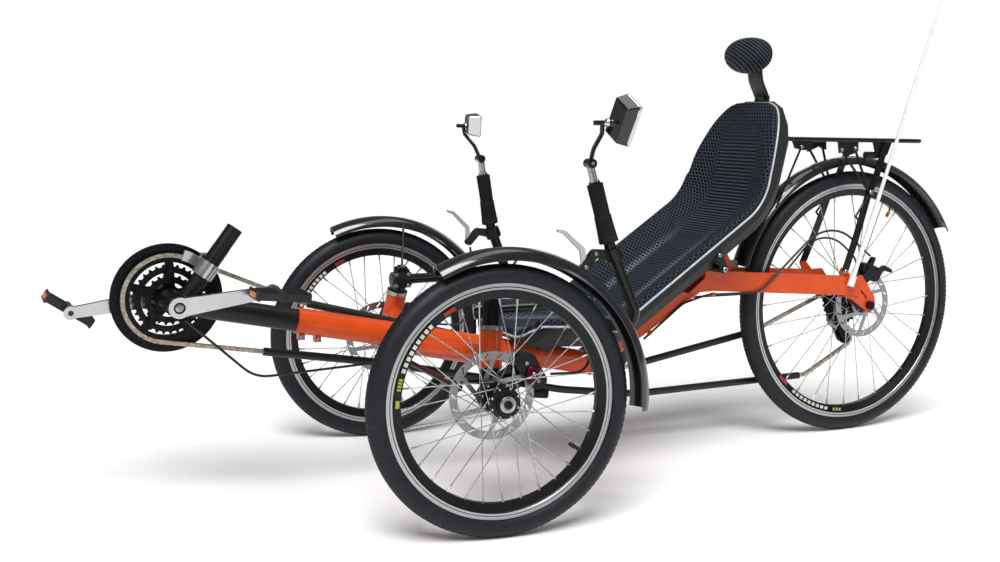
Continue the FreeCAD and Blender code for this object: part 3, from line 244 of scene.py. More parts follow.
def in_scene(name, data):
    """New object in the scene."""
    obj = bpy.data.objects.new(name, data)
    bpy.context.scene.collection.objects.link(obj)
    return obj


def rows_of(items, key):
    """A vector property of a mesh's points or faces, one row each."""
    values = np.zeros(len(items) * 3)
    items.foreach_get(key, values)
    return values.reshape(-1, 3)


def build(name, s, material, body, place=REST, smooth=40.0):
    """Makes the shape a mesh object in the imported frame, riding on the body."""
    points = (placed(s, place).points + ORIGIN) * MM
    mesh = bpy.data.meshes.new(name)
    mesh.from_pydata(points, [], s.quads.tolist() + s.others)
    mesh.materials.append(material)
    if s.uv is not None:
        loops = np.zeros(len(mesh.loops), int)
        mesh.loops.foreach_get("vertex_index", loops)
        mesh.uv_layers.new(name="UVMap").data.foreach_set("uv", s.uv[loops].ravel())
    b = bmesh.new()
    b.from_mesh(mesh)
    bmesh.ops.remove_doubles(b, verts=b.verts, dist=1e-7)
    bmesh.ops.recalc_face_normals(b, faces=b.faces)
    b.to_mesh(mesh)
    b.free()
    mesh.polygons.foreach_set("use_smooth", np.ones(len(mesh.polygons), bool))
    mesh.set_sharp_from_angle(angle=math.radians(smooth))
    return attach(in_scene(name, mesh), body)


# ------------------------------------------------------------------ material helpers
def srgb(code):
    """sRGB hex to the linear values that Blender uses, with full alpha."""
    c = np.array([int(code[i:i + 2], 16) for i in (1, 3, 5)]) / 255
    return (*np.where(c <= 0.04045, c / 12.92, ((c + 0.055) / 1.055) ** 2.4), 1.0)


def add(tree, kind, links=None, **settings):
    """A node with its properties set, and its inputs set or linked by name or number."""
    n = tree.nodes.new(kind)
    for key, value in settings.items():
        setattr(n, key, value)
    for key, value in (links or {}).items():
        if isinstance(value, bpy.types.NodeSocket):
            tree.links.new(value, n.inputs[key])
        else:
            n.inputs[key].default_value = value
    return n


def finish(name, **values):
    """New material with a Principled shader; returns it with its tree and shader."""
    m = bpy.data.materials.new(name)
    m.use_nodes = True
    shader = m.node_tree.nodes["Principled BSDF"]
    for key, value in values.items():
        shader.inputs[key.replace("_", " ")].default_value = value
    return m, m.node_tree, shader


def object_point(tree):
    return add(tree, "ShaderNodeTexCoord").outputs["Object"]


def speckle(tree, size_mm, detail=2.0):
    """Noise whose grains are size_mm across."""
    return add(tree, "ShaderNodeTexNoise", {
        "Vector": object_point(tree), "Scale": 1 / (size_mm * MM), "Detail": detail,
    }).outputs["Fac"]


def between(tree, value, dark, light, low, high):
    """Colour that runs from dark to light as the value goes from low to high."""
    ramp = add(tree, "ShaderNodeValToRGB", {"Fac": value})
    for stop, where, code in zip(ramp.color_ramp.elements, (low, high), (dark, light)):
        stop.position, stop.color = where, srgb(code)
    return ramp.outputs["Color"]


def remap(tree, value, low, high, to_low=0.0, to_high=1.0, **settings):
    """The value's run from low to high carried to another run, and held at its ends."""
    return add(tree, "ShaderNodeMapRange", {0: value, 1: low, 2: high, 3: to_low, 4: to_high},
               **settings).outputs[0]


def span(tree, value, low, high):
    """The value's 0 to 1 carried to low to high."""
    return remap(tree, value, 0.0, 1.0, low, high)


def calc(tree, operation, *inputs):
    """Result of a math node."""
    return add(tree, "ShaderNodeMath", dict(enumerate(inputs)), operation=operation).outputs[0]


def vector(tree, operation, *inputs):
    """Result of a vector math node."""
    n = add(tree, "ShaderNodeVectorMath", dict(enumerate(inputs)), operation=operation)
    return n.outputs["Value" if operation == "LENGTH" else "Vector"]


def split(tree, value, axis):
    return add(tree, "ShaderNodeSeparateXYZ", {0: value}).outputs[axis]


def uv_map(tree):
    return add(tree, "ShaderNodeUVMap", uv_map="UVMap").outputs[0]


def colour(tree, shader, value, dark, light, low=0.3, high=0.7):
    tree.links.new(between(tree, value, dark, light, low, high), shader.inputs["Base Color"])


def roughness(tree, shader, size_mm, low, high):
    """Uneven roughness from low to high in patches of the given size."""
    tree.links.new(span(tree, speckle(tree, size_mm), low, high), shader.inputs["Roughness"])


def relief(tree, shader, height, depth_mm):
    """Bump of the given depth from a height of 0 to 1."""
    n = add(tree, "ShaderNodeBump", {"Height": height, "Distance": depth_mm * MM})
    tree.links.new(n.outputs["Normal"], shader.inputs["Normal"])


def wheel_radius(tree, wheel):
    """Distance from the wheel's axle, in metres."""
    m = WHEELS[wheel].copy()
    if np.linalg.det(m[:3, :3]) < 0:
        m[:3, 1] *= -1
    turned = Matrix(m[:3, :3].tolist()).to_euler()
    local = add(tree, "ShaderNodeMapping", {
        "Vector": object_point(tree), "Location": tuple((m[:3, 3] + ORIGIN) * MM),
        "Rotation": tuple(turned)}, vector_type="TEXTURE").outputs[0]
    return vector(tree, "LENGTH", vector(tree, "MULTIPLY", local, (1, 0, 1)))


def waves(tree, value, pitch_mm, start=0.0):
    """0 to 1 ripple of the given pitch along a value in metres."""
    phase = calc(tree, "MULTIPLY_ADD", value, 2 * math.pi / (pitch_mm * MM), start)
    return remap(tree, calc(tree, "SINE", phase), -1.0, 1.0)


# ------------------------------------------------------------------ materials
def powder_coat(name, dark, light):
    """Gloss powder coat over steel tube: even colour, a soft orange-peel skin, a clear gloss."""
    m, t, s = finish(name, Roughness=0.4, Coat_Weight=0.25, Coat_Roughness=0.07,
                     Specular_IOR_Level=0.3)
    colour(t, s, speckle(t, 60), dark, light)
    relief(t, s, speckle(t, 2.2, 1.0), 0.03)
    return m


def satin_paint(name, code, rough=0.38):
    """Satin black enamel: a thin even film with a very fine grain."""
    m, t, s = finish(name, Base_Color=srgb(code), Coat_Weight=0.08, Coat_Roughness=0.25,
                     Specular_IOR_Level=0.3)
    roughness(t, s, 14, rough - 0.08, rough + 0.08)
    relief(t, s, speckle(t, 0.9, 1.0), 0.02)
    return m


def tyre_rubber(wheel):
    """Moulded tyre rubber: blue-black with a faint mottle, fine mould rings on the wall."""
    m, t, s = finish("moulded_tyre_rubber_" + wheel, Specular_IOR_Level=0.32)
    radius = wheel_radius(t, wheel)
    colour(t, s, speckle(t, 9, 4.0), "#0B0D12", "#14171F")
    roughness(t, s, 25, 0.42, 0.6)
    relief(t, s, calc(t, "ADD", waves(t, radius, 3.0), speckle(t, 0.8)), 0.12)
    return m


def plain_rubber():
    """Soft moulded rubber of small boots and caps: matt, faintly mottled."""
    m, t, s = finish("moulded_rubber", Roughness=0.7, Specular_IOR_Level=0.3)
    colour(t, s, speckle(t, 3), "#141416", "#1E1F22")
    relief(t, s, speckle(t, 0.7), 0.05)
    return m


def black_anodised():
    """Black anodised aluminium: dark, a little metallic sheen, faint drawing lines."""
    m, t, s = finish("black_anodised_aluminium", Metallic=0.55)
    colour(t, s, speckle(t, 5), "#101114", "#1A1C20")
    roughness(t, s, 12, 0.26, 0.4)
    relief(t, s, speckle(t, 0.8), 0.015)
    return m


def machined_band():
    """Turned aluminium braking band: bright, with the lathe's rings. The real rings are
    0.3 mm apart and are drawn at 1.1 mm so that they show."""
    m, t, s = finish("turned_aluminium_band", Metallic=1.0)
    groove = waves(t, split(t, uv_map(t), "Y"), 1.1)
    colour(t, s, groove, "#A9ABAD", "#DADBDB", 0.0, 1.0)
    roughness(t, s, 8, 0.24, 0.36)
    relief(t, s, groove, 0.08)
    return m


def steel(name, dark, light, rough, grain=1.5):
    """Bright steel: metallic, rubbed to a fine uneven polish."""
    m, t, s = finish(name, Metallic=1.0)
    colour(t, s, speckle(t, grain * 4), dark, light)
    roughness(t, s, grain, rough - 0.07, rough + 0.09)
    return m


def disc_steel(wheel):
    """Ground stainless brake disc: bright rings turned by the pads, 0.9 mm apart here."""
    m, t, s = finish("ground_stainless_disc_" + wheel, Metallic=1.0)
    radius = wheel_radius(t, wheel)
    groove = waves(t, radius, 0.9)
    colour(t, s, groove, "#77797C", "#B4B6B8", 0.0, 1.0)
    roughness(t, s, 7, 0.22, 0.38)
    relief(t, s, groove, 0.03)
    return m


def moulded(name, dark, light, rough, coat=0.0, grain=1.2, depth=0.04):
    """Injection-moulded plastic: one colour with a fine mould texture."""
    m, t, s = finish(name, Coat_Weight=coat, Coat_Roughness=0.08)
    colour(t, s, speckle(t, 20), dark, light)
    roughness(t, s, 6, rough - 0.05, rough + 0.06)
    relief(t, s, speckle(t, grain), depth)
    return m


def closed_cell_foam():
    """Closed-cell foam grip: dull black skin with cut cells about a millimetre wide."""
    m, t, s = finish("closed_cell_foam", Roughness=0.9, Specular_IOR_Level=0.2)
    cells = add(t, "ShaderNodeTexVoronoi", {"Vector": object_point(t), "Scale": 1 / (1.1 * MM)})
    colour(t, s, cells.outputs["Distance"], "#0E0E10", "#1F2023")
    relief(t, s, cells.outputs["Distance"], 0.25)
    return m


def spacer_mesh(name, cell_mm, ribs, fold=None):
    """Knitted 3-D spacer mesh: soft hexagonal eyes between rounded yarn walls, near black
    with a blue cast. Its rows close up into ribs inside the box (across, along) in mm.
    Along a fold (across, half width, end) the yarn is painted paler: a painted highlight along the
    fold."""
    m, t, s = finish(name, Roughness=0.6, Specular_IOR_Level=0.15)
    uv = uv_map(t)
    row_mm = cell_mm * ROW_STEP
    scaled = vector(t, "MULTIPLY", uv, (1 / cell_mm, 1 / row_mm, 0))
    eyes = remap(t, hexagons(t, scaled), 0.3, 0.47, interpolation_type="SMOOTHSTEP")
    along = split(t, uv, "Y")
    lines = waves(t, along, row_mm / MM, math.pi / 2)
    side = calc(t, "ABSOLUTE", split(t, uv, "X"))
    (across, fade_a), (start, end, fade_s) = ribs
    inner = remap(t, side, across, across + fade_a, 1.0, 0.0)
    above = remap(t, along, start, start + fade_s)
    below = remap(t, along, end, end + fade_s, 1.0, 0.0)
    share = calc(t, "MULTIPLY", calc(t, "MULTIPLY", inner, above), below)
    height = add(t, "ShaderNodeMix", {0: share, 2: eyes, 3: lines}).outputs[0]
    # dark knit with painted shade: the colour follows the height, so the eyes and the troughs
    # between ribs are painted near black
    yarn = between(t, height, "#010102", "#39424F", 0.2, 0.9)
    # painted highlight: a pale band of yarn colour along the fold, fading out towards its end
    if fold:
        at, wide, stop = fold
        fold_highlight_mask = calc(t, "MULTIPLY", remap(t, side, at - wide, at),
                     remap(t, side, at, at + wide, 1.0, 0.0))
        fold_highlight_mask = calc(t, "MULTIPLY", fold_highlight_mask, remap(t, along, stop - 160, stop, 0.8, 0.0))
        painted_fold_highlight = between(t, height, "#14171C", "#8792A2", 0.1, 0.8)
        yarn = add(t, "ShaderNodeMix", {0: fold_highlight_mask, 6: yarn, 7: painted_fold_highlight}, data_type="RGBA").outputs[2]
    t.links.new(yarn, s.inputs["Base Color"])
    relief(t, s, height, 1.6)
    return m


ROW_STEP = 0.866  # rows of a hexagonal lattice lie this share of a cell apart


def hexagons(tree, scaled):
    """Distance from the nearest point of a staggered lattice, 0 at an eye's middle: the
    lesser of the distances to two square lattices set half a cell apart."""
    found = []
    for start in ((0, 0, 0), (0.5, 1, 0)):
        half = vector(tree, "DIVIDE", vector(tree, "ADD", scaled, start), (1, 2, 1))
        middle = vector(tree, "SUBTRACT", vector(tree, "FRACTION", half), (0.5, 0.5, 0))
        found.append(vector(tree, "LENGTH", vector(tree, "MULTIPLY", middle, (1, 1.732, 0))))
    return calc(tree, "MINIMUM", *found)


ORANGE = powder_coat("gloss_orange_powder_coat", "#C23F04", "#D04908")
BLACK_PAINT = satin_paint("satin_black_enamel", "#0A0B0D")
GLOSS_BLACK = satin_paint("gloss_black_enamel", "#0D0E10", 0.2)
ANODISED = black_anodised()
BAND = machined_band()
SPOKE_STEEL = steel("drawn_stainless_spokes", "#9FA1A4", "#D2D4D6", 0.22)
BOLT_STEEL = steel("zinc_plated_bolts", "#8C8E90", "#BFC0C1", 0.3)
FORGED = steel("polished_forged_aluminium", "#C2C4C6", "#D0D2D4", 0.22, 30.0)
CHAIN_STEEL = steel("oiled_chain_steel", "#857A6B", "#C9C0B2", 0.33, 1.2)
RING_STEEL = steel("black_coated_steel", "#1A1B1D", "#2A2B2E", 0.4, 1.5)
RUBBER = plain_rubber()
FENDER_ABS = moulded("gloss_moulded_fender_abs", "#101216", "#191C21", 0.16, 0.6, 6.0, 0.02)
NYLON = moulded("moulded_black_nylon", "#0F1011", "#191A1C", 0.48)
SHELL = moulded("moulded_seat_shell", "#050506", "#090A0B", 0.6, 0.0, 1.6, 0.08)
CHROME = steel("chromed_abs", "#C4C8CB", "#DEE1E3", 0.1, 30.0)
FOAM = closed_cell_foam()
# the last triple (across, half width, end) places the painted highlight along the seat's fold
SEAT_MESH = spacer_mesh("knitted_spacer_mesh", 9.6, ((62.0, 30.0), (470.0, 760.0, 90.0)),
                        (65.0, 20.0, 560.0))
HEAD_MESH = spacer_mesh("knitted_spacer_mesh_ribs", 7.5, ((45.0, 25.0), (-60.0, 70.0, 20.0)))
PIPING = moulded("extruded_grey_piping", "#A4A9AE", "#BEC2C6", 0.4)
JACKET = moulded("extruded_cable_jacket", "#0E0F10", "#17181A", 0.42, 0.0, 2.0, 0.01)
GLASS_ROD = moulded("white_glass_fibre_rod", "#DADAD7", "#F0F0EE", 0.3, 0.4)
RED_ANODISED = steel("red_anodised_aluminium", "#4A0F1B", "#6E1A28", 0.35)
GLASS = steel("silvered_mirror_glass", "#D8DCDE", "#E6E9EA", 0.09, 30.0)
BLACK_BACK_AND_PAINTED_REFLECTION = moulded("black_mirror_back_and_painted_reflection", "#0D0E11", "#15161A", 0.16, 0.3)
YELLOW_FILM = moulded("printed_yellow_film", "#8A8A2E", "#A6A53E", 0.4)
WHITE_FILM = moulded("printed_white_film", "#B9B7A6", "#C9C7B6", 0.4)
BRASS = steel("turned_brass_valve", "#8C6A30", "#B98F45", 0.3)
RED_FILM = moulded("printed_red_film", "#7A1A14", "#94231B", 0.4)
AMBER = moulded("moulded_amber_reflector", "#C45A08", "#E8870F", 0.2, 0.6, 2.5, 0.6)
TYRES = {w: tyre_rubber(w) for w in WHEELS}
DISCS = {w: disc_steel(w) for w in WHEELS}


# ------------------------------------------------------------------ CAD nodes
FRONT_DISC_FACE = -48.9  # just outside the disc, along the axle
DISC_BOLTED_R = 22.3     # the disc shows beyond this radius
REAR_DISC = (50.9, 53.1)  # both faces, along the axle
COG_FACE = -17.2         # just outside the largest cog
COG_CARRIER_R = 19.5
MIRROR_CLAMP_Z = 648.0   # the arm's steel clamp lies below this height
MIRROR_BALL_R = 8.4


def dress(node, *rules):
    """Gives a CAD node its material, and further ones to the faces that a rule picks by
    their middles, in millimetres in the given place's own frame."""
    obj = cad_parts[node]
    mesh = obj.data
    mesh.materials.clear()
    p = rows_of(mesh.polygons, "center") / MM - ORIGIN
    index = np.zeros(len(mesh.polygons), np.int32)
    for k, rule in enumerate(rules):
        material, place, test = rule if isinstance(rule, tuple) else (rule, REST, None)
        mesh.materials.append(material)
        if test is not None:
            inverse = np.linalg.inv(place)
            q = p @ inverse[:3, :3].T + inverse[:3, 3]
            index[test(q[:, 0], q[:, 1], q[:, 2])] = k
    mesh.polygons.foreach_set("material_index", index)


def dress_cad():
    pin, u = on_pin(HEAD_TOP), pin_axis()
    for side in ("left", "right"):
        wheel, place = "front_wheel_" + side, SIDES[side]
        for node, material in (
                ("front_tyre", TYRES[wheel]), ("front_rim", ANODISED),
                ("front_spokes", SPOKE_STEEL), ("fender", FENDER_ABS),
                ("knuckle", GLOSS_BLACK), ("grip", FOAM),
                ("brake_lever", FORGED), ("caliper", ANODISED), ("pedal", NYLON),
                ("brake_cable", JACKET)):
            dress(f"{node}_{side}", material)
        dress("front_hub_" + side, ANODISED, (
            DISCS[wheel], WHEELS[wheel],
            lambda x, y, z: (y < FRONT_DISC_FACE) & (np.hypot(x, z) > DISC_BOLTED_R)))
        dress("handlebar_" + side, GLOSS_BLACK, (
            BOLT_STEEL, place,
            lambda x, y, z: np.abs((np.stack([x, y, z], -1) - pin) @ u - 4.8) < 4.7))
        dress("mirror_arm_" + side, GLOSS_BLACK,
              (BOLT_STEEL, place, lambda x, y, z: z < MIRROR_CLAMP_Z),
              (CHROME, place, lambda x, y, z: np.linalg.norm(
                  np.stack([x, y, z], -1) - MIRROR_BALL, axis=-1) < MIRROR_BALL_R))
        # painted reflection: some faces of the chrome housing get black plastic where chrome would
        # mirror dark surroundings
        dress("mirror_" + side, CHROME,
              (BLACK_BACK_AND_PAINTED_REFLECTION, place @ mirror_place(side), MIRROR_PAINTED_REFLECTION_FACES[side]))
    place = WHEELS["rear_wheel"]
    dress("rear_tyre", TYRES["rear_wheel"])
    dress("rear_rim", ANODISED)
    dress("rear_spokes", SPOKE_STEEL)
    dress("rear_hub", ANODISED,
          (DISCS["rear_wheel"], place,
           lambda x, y, z: (y > REAR_DISC[0]) & (y < REAR_DISC[1])
           & (np.hypot(x, z) > DISC_BOLTED_R)),
          (RING_STEEL, place, lambda x, y, z: (y < COG_FACE) & (np.hypot(x, z) > COG_CARRIER_R)))
    for node, material in (
            ("main_frame", ORANGE), ("rear_stays", ORANGE), ("boom", BLACK_PAINT),
            ("rear_axle", RING_STEEL), ("tie_rod", GLOSS_BLACK), ("crank_arms", FORGED),
            ("chainrings", RING_STEEL), ("chain", CHAIN_STEEL), ("chain_tubes", NYLON),
            ("front_derailleur", FORGED), ("rear_derailleur", RING_STEEL),
            ("seat_shell", SHELL), ("seat_pad", SHELL), ("seat_brackets", BLACK_PAINT),
            ("headrest_pad", SHELL), ("rack", GLOSS_BLACK), ("rear_fender", FENDER_ABS),
            ("rear_caliper", ANODISED), ("flag_pole", GLASS_ROD), ("cables", JACKET)):
        dress(node, material)


# ------------------------------------------------------------------ wheels
def on_flanks(profile):
    """Rings on both flanks of the rim: section (height over the flank, radius)."""
    return joined([ring([(out * (RIM_HALF_W + up), r) for up, r in profile], 192)
                   for out in (1, -1)])


def brake_band(flange_r):
    """Thin turned ring on each flank of the rim, its UV holding the radius."""
    r0, r1 = flange_r - 12.0, flange_r - 0.6
    s = on_flanks([(0.05, r0), (0.45, r0 + 0.4), (0.45, r1 - 0.4), (0.05, r1)])
    x, _, z = s.points.T
    s.uv = np.stack([np.arctan2(z, x), np.hypot(x, z) * MM], -1)
    return s


TREAD_ROWS = (  # section angle of the middle, half width, half length mm, slant
    (6.0, 4.6, 4.2, 0.35),
    (21.0, 5.4, 3.4, -0.5),
    (38.0, 5.6, 2.6, 0.45),
)


def tread(tyre_r):
    """Low rubber blocks on the crown: each lies between four corners of the torus
    ((R + s cos t) cos a, s sin t, (R + s cos t) sin a), s being 0.7 mm more on top."""
    ring_r = tyre_r - TYRE_SECTION_R
    count = int(round(2 * math.pi * tyre_r / 12.0))
    blocks = []
    for middle, half_w, half_l, slant in TREAD_ROWS:
        for side in (1, -1):
            t0 = math.radians(middle) * side
            dt = math.radians(half_w)
            da = half_l / tyre_r
            corner = np.array([(-1, -1), (1, -1), (1, 1), (-1, 1)], float)
            rows = []
            for grow, lift in ((1.0, -0.4), (1.0, 0.35), (0.82, 0.7)):
                t = t0 + corner[:, 0] * dt * grow
                a = corner[:, 1] * da * grow + corner[:, 0] * side * slant * da
                s = TYRE_SECTION_R + lift
                rows.append(about_y(a, s * np.sin(t), ring_r + s * np.cos(t)))
            block = Shape(np.stack(rows), weave(3, 4, close_cols=True),
                          [[8, 9, 10, 11], [3, 2, 1, 0]])
            start = math.pi / count if side > 0 else 0.0
            blocks.append(copies(block, around(count, start)))
    return joined(blocks)


def spoke_ends(hub_r, flange_ys, inner_r):
    """Start and end of each spoke, as the source lays them out."""
    per_side = SPOKE_COUNT // 2
    i = np.arange(per_side)
    lead = np.where(i % 2 == 0, 1, -1)
    starts, ends = [], []
    for side, flange_y in enumerate(flange_ys):
        out = 1 if flange_y > 0 else -1
        a = np.radians(360 / per_side * (i + side / 2))
        b = a + lead * math.radians(3 * 360 / per_side)
        starts.append(about_y(a, flange_y + out * lead * 2, hub_r))
        ends.append(about_y(b, out * 1.5, inner_r))
    return np.concatenate(starts), np.concatenate(ends)


def nipples(hub_r, flange_ys, inner_r):
    """Plated nipple at the rim end of every spoke."""
    starts, ends = spoke_ends(hub_r, flange_ys, inner_r)
    one = lathe([(-1.0, 0), (-1.0, 2.6), (2.0, 2.4), (3.0, 1.9), (13.0, 1.7), (13.6, 1.2),
                 (13.6, 0)], 8)
    return copies(one, [aim(e, s - e) for s, e in zip(starts, ends)])


def valve(inner_r, d):
    """Valve stem with its cap, standing inwards from the rim at the direction d."""
    stem = lathe([(-2, 0), (-2, 5.0), (3, 4.6), (5, 3.0), (12, 3.0), (12.5, 4.1), (23, 3.9),
                  (25, 2.4), (25, 0)], 16)
    return placed(stem, aim(d * inner_r, -d))


def rim_patches(marks, r0, r1):
    """Thin plain patches on both flanks of the rim: sectors (start, end) in degrees between
    two radii, 0.35 mm proud."""
    found = []
    for start, end in marks:
        a = np.radians(np.linspace(start, end, max(3, int(end - start) + 2)))
        for out in (1, -1):
            n = len(a)
            rows = [about_y(a, out * (RIM_HALF_W + up), r)
                    for r, up in ((r0, -0.2), (r0, 0.35), (r1, 0.35), (r1, -0.2))]
            caps = [[0, n, 2 * n, 3 * n], [n - 1, 2 * n - 1, 3 * n - 1, 4 * n - 1]]
            found.append(Shape(np.stack(rows), weave(4, n, close_rows=True), caps))
    return joined(found)


FRONT_FLANGES, REAR_FLANGES = (24.5, -26.5), (32.5, -14.0)
WHEEL_SIZES = {False: (FRONT_TYRE_R, FRONT_FLANGE_R, FRONT_FLANGES),
               True: (REAR_TYRE_R, REAR_FLANGE_R, REAR_FLANGES)}
VALVE_AT = {False: (-0.82, 0.0, -0.57), True: (-0.49, 0.0, 0.87)}
SPOKE_START_R = 29.4
WEAR_LINE_DEPTH = 7.6       # from the rim's edge, towards the axle
PATCH_BAND = (4.5, 11.5)    # the patches' radii over the rim's inner one


def dress_wheels():
    for wheel, place in WHEELS.items():
        rear = wheel == "rear_wheel"
        tyre_r, flange_r, flanges = WHEEL_SIZES[rear]
        inner, mid = flange_r - RIM_DEPTH, flange_r - WEAR_LINE_DEPTH
        build(wheel + "_brake_band", brake_band(flange_r), BAND, wheel, place, 30)
        build(wheel + "_tread", tread(tyre_r), TYRES[wheel], wheel, place, 30)
        build(wheel + "_nipples", nipples(SPOKE_START_R, flanges, inner), BOLT_STEEL, wheel, place)
        line = on_flanks([(0.3, mid - 0.9), (0.6, mid - 0.7), (0.6, mid + 0.7), (0.3, mid + 0.9)])
        build(wheel + "_wear_line", line, ANODISED, wheel, place, 30)
        d = np.array(VALVE_AT[rear])
        build(wheel + "_valve", valve(inner, d), BRASS if rear else RUBBER, wheel, place)
        for name, material, marks in RIM_PATCHES[rear]:
            patches = rim_patches(marks, inner + PATCH_BAND[0], inner + PATCH_BAND[1])
            build(f"{wheel}_{name}", patches, material, wheel, place, 20)


def bars(start, end, count):
    """Evenly spaced marks (start, end) in degrees, a third of the pitch left bare."""
    pitch = (end - start) / count
    return [(start + i * pitch, start + (i + 0.66) * pitch) for i in range(count)]


RIM_PATCHES = {  # name, material, marks in degrees above the forward direction, front and rear
    False: (("red_patch", RED_FILM, [(57, 64)]), ("white_bars", WHITE_FILM, bars(20, 50, 9)),
            ("yellow_bars", YELLOW_FILM, bars(10.5, 17.5, 4) + [(1.5, 5.5)])),
    True: (("red_patch", RED_FILM, [(-46, -39)]), ("white_bars", WHITE_FILM, bars(-77, -50, 9)),
           ("yellow_bars", YELLOW_FILM, bars(-86, -80, 3)))}


# ------------------------------------------------------------------ seat
SEAT_PATH = ((-160.0, 310.0), (-356.5, 299.0), (-724.0, 553.0), (-781.0, 800.0))
SEAT_BENDS = (120.0, 150.0)
SEAT_HALF_W = 158.0
SEAT_FLAT = 60.0
PAD_T = 19.7
EDGE_R = 9.0
PIPING_R = 2.4
FOLD_END = 560.0  # the bead along the fold fades out before this distance
FOLD_FADE = 130.0
HEADREST_BACK_X = -772.0  # the cover is held behind this
SEAT_TOP = (  # half width, height
    (158, 200), (158, 565), (150, 628), (142, 676), (118, 737), (86, 775), (48, 791),
)
SEAT_FRONT = (  # half width, x
    (158, -950), (158, -200), (152, -180), (140, -166), (124, -159),
)


def run_along(line):
    """Distance run at each point of a line."""
    return np.concatenate([[0.0], np.cumsum(np.linalg.norm(np.diff(line, axis=0), axis=1))])


def side_line():
    """Side view of the sitting surface, (x, z) with the distance run: straight stretches
    joined by the arcs that touch both."""
    p = np.asarray(SEAT_PATH)
    runs = [p[:1]]
    for a, b, c, r in zip(p, p[1:], p[2:], SEAT_BENDS):
        u, w = unit(a - b), unit(c - b)
        half = math.acos(u @ w) / 2
        centre = b + unit(u + w) * r / math.sin(half)
        q0, q1 = b + u * r / math.tan(half) - centre, b + w * r / math.tan(half) - centre
        a0, a1 = math.atan2(q0[1], q0[0]), math.atan2(q1[1], q1[0])
        a1 = a0 + (a1 - a0 + math.pi) % (2 * math.pi) - math.pi
        angle = np.linspace(a0, a1, 60)
        runs.append(centre + r * np.stack([np.cos(angle), np.sin(angle)], -1))
    line = np.concatenate(runs + [p[-1:]])
    return run_along(line), line


SEAT_RUN, SEAT_LINE = side_line()
TOP_LINE, FRONT_LINE = curve(SEAT_TOP, 8), curve(SEAT_FRONT, 8)
SEAT_END = SEAT_RUN[-1] - 10.5


def seat_at(s):
    """Point (x, z) at s along the side view, and the direction of the sitting side."""
    def at(v):
        return np.stack([np.interp(v, SEAT_RUN, SEAT_LINE[:, k]) for k in (0, 1)], -1)
    t = unit(at(np.minimum(s + 3, SEAT_RUN[-1])) - at(np.maximum(s - 3, 0)))
    return at(s), np.stack([t[..., 1], -t[..., 0]], -1)


def on_seat(s, y, height):
    """p(s) + n(s) (rise + height): the rise is 10 u + 26 u^2, u running from 0 at the flat
    middle's edge to 1 at the rim."""
    s, y, height = np.broadcast_arrays(np.asarray(s, float), y, height)
    p, n = seat_at(s)
    u = np.clip((np.abs(y) - SEAT_FLAT) / (SEAT_HALF_W - SEAT_FLAT), 0, 1)
    q = p + n * (10 * u + 26 * u ** 2 + height)[..., None]
    return np.stack([q[..., 0], y, q[..., 1]], -1)


def half_width(s):
    """Half width of the seat at s, from its front and plan outlines."""
    w = np.full(np.shape(s), SEAT_HALF_W)
    for _ in range(2):
        rim = on_seat(s, w, 0.0)
        w = np.minimum(np.interp(rim[..., 2], TOP_LINE[:, 1], TOP_LINE[:, 0]),
                       np.interp(rim[..., 0], FRONT_LINE[:, 1], FRONT_LINE[:, 0]))
    return w


def ease(t):
    """-1 to 1 with its steps halved towards both ends."""
    return 0.5 * (t + np.sin(t * math.pi / 2))


def seat_cover():
    """Pad as one closed skin. Row s, column y = v w(s); the height falls by
    r - sqrt(r^2 - (r - e)^2) within r of the outline, e being the distance to it, and a
    soft bead runs along the fold on each side. Also gives the points that are sewn down."""
    s = (0.5 + 0.5 * ease(np.linspace(-1, 1, 151)))[:, None] * SEAT_END
    w = half_width(s)
    y = w * ease(np.linspace(-1, 1, 61))
    e = np.minimum(w - np.abs(y), np.minimum(s, SEAT_END - s))
    inside = np.clip(EDGE_R - e, 0, EDGE_R)
    fade = np.clip((FOLD_END - s) / FOLD_FADE, 0, 1)
    fold = np.exp(-((np.abs(y) - SEAT_FLAT - 3) / 7.5) ** 2) * fade
    top = on_seat(s, y, np.sqrt(EDGE_R ** 2 - inside ** 2) - EDGE_R + 3.4 * fold)
    under = on_seat(s, y * 0.985, -PAD_T)
    loop = np.concatenate([top, under[:, ::-1]], 1)
    rows, cols = y.shape
    quads = weave(rows, 2 * cols, close_cols=True)
    j = np.arange(cols - 1)
    cap = np.stack([j, j + 1, 2 * cols - 2 - j, 2 * cols - 1 - j], -1)
    quads = np.concatenate([quads, cap, cap + (rows - 1) * 2 * cols])
    step = np.linalg.norm(np.diff(top, axis=1), axis=2)
    across = np.concatenate([np.zeros((rows, 1)), np.cumsum(step, 1)], 1)
    across -= across[:, cols // 2:cols // 2 + 1]
    round_edge = across + PAD_T * np.sign(y)
    uv = np.stack([np.concatenate([across, round_edge[:, ::-1]], 1),
                   np.broadcast_to(s, (rows, 2 * cols))], -1)
    held = np.concatenate([(e < EDGE_R + 4) | (fold > 0.3), np.ones((rows, cols), bool)], 1)
    return Shape(loop, quads, uv=uv.reshape(-1, 2)), held.ravel()


def seat_rim(out, height):
    """Closed path round the pad's outline, with the sitting side's direction at each point."""
    s = np.linspace(0, SEAT_END, 170)
    w = half_width(s) + out
    top, front = np.linspace(-1, 1, 24)[1:-1], np.linspace(1, -1, 40)[1:-1]
    path = [on_seat(s, -w, height), on_seat(SEAT_END + out, top * w[-1], height),
            on_seat(s, w, height)[::-1], on_seat(-out, front * w[0], height)]
    runs = [s, np.full(len(top), SEAT_END), s[::-1], np.zeros(len(front))]
    n = seat_at(np.concatenate(runs))[1]
    return np.concatenate(path), np.stack([n[:, 0], np.zeros(len(n)), n[:, 1]], -1)


PAD_PRESSURE = 4.0
SWELL_FRAMES = 20


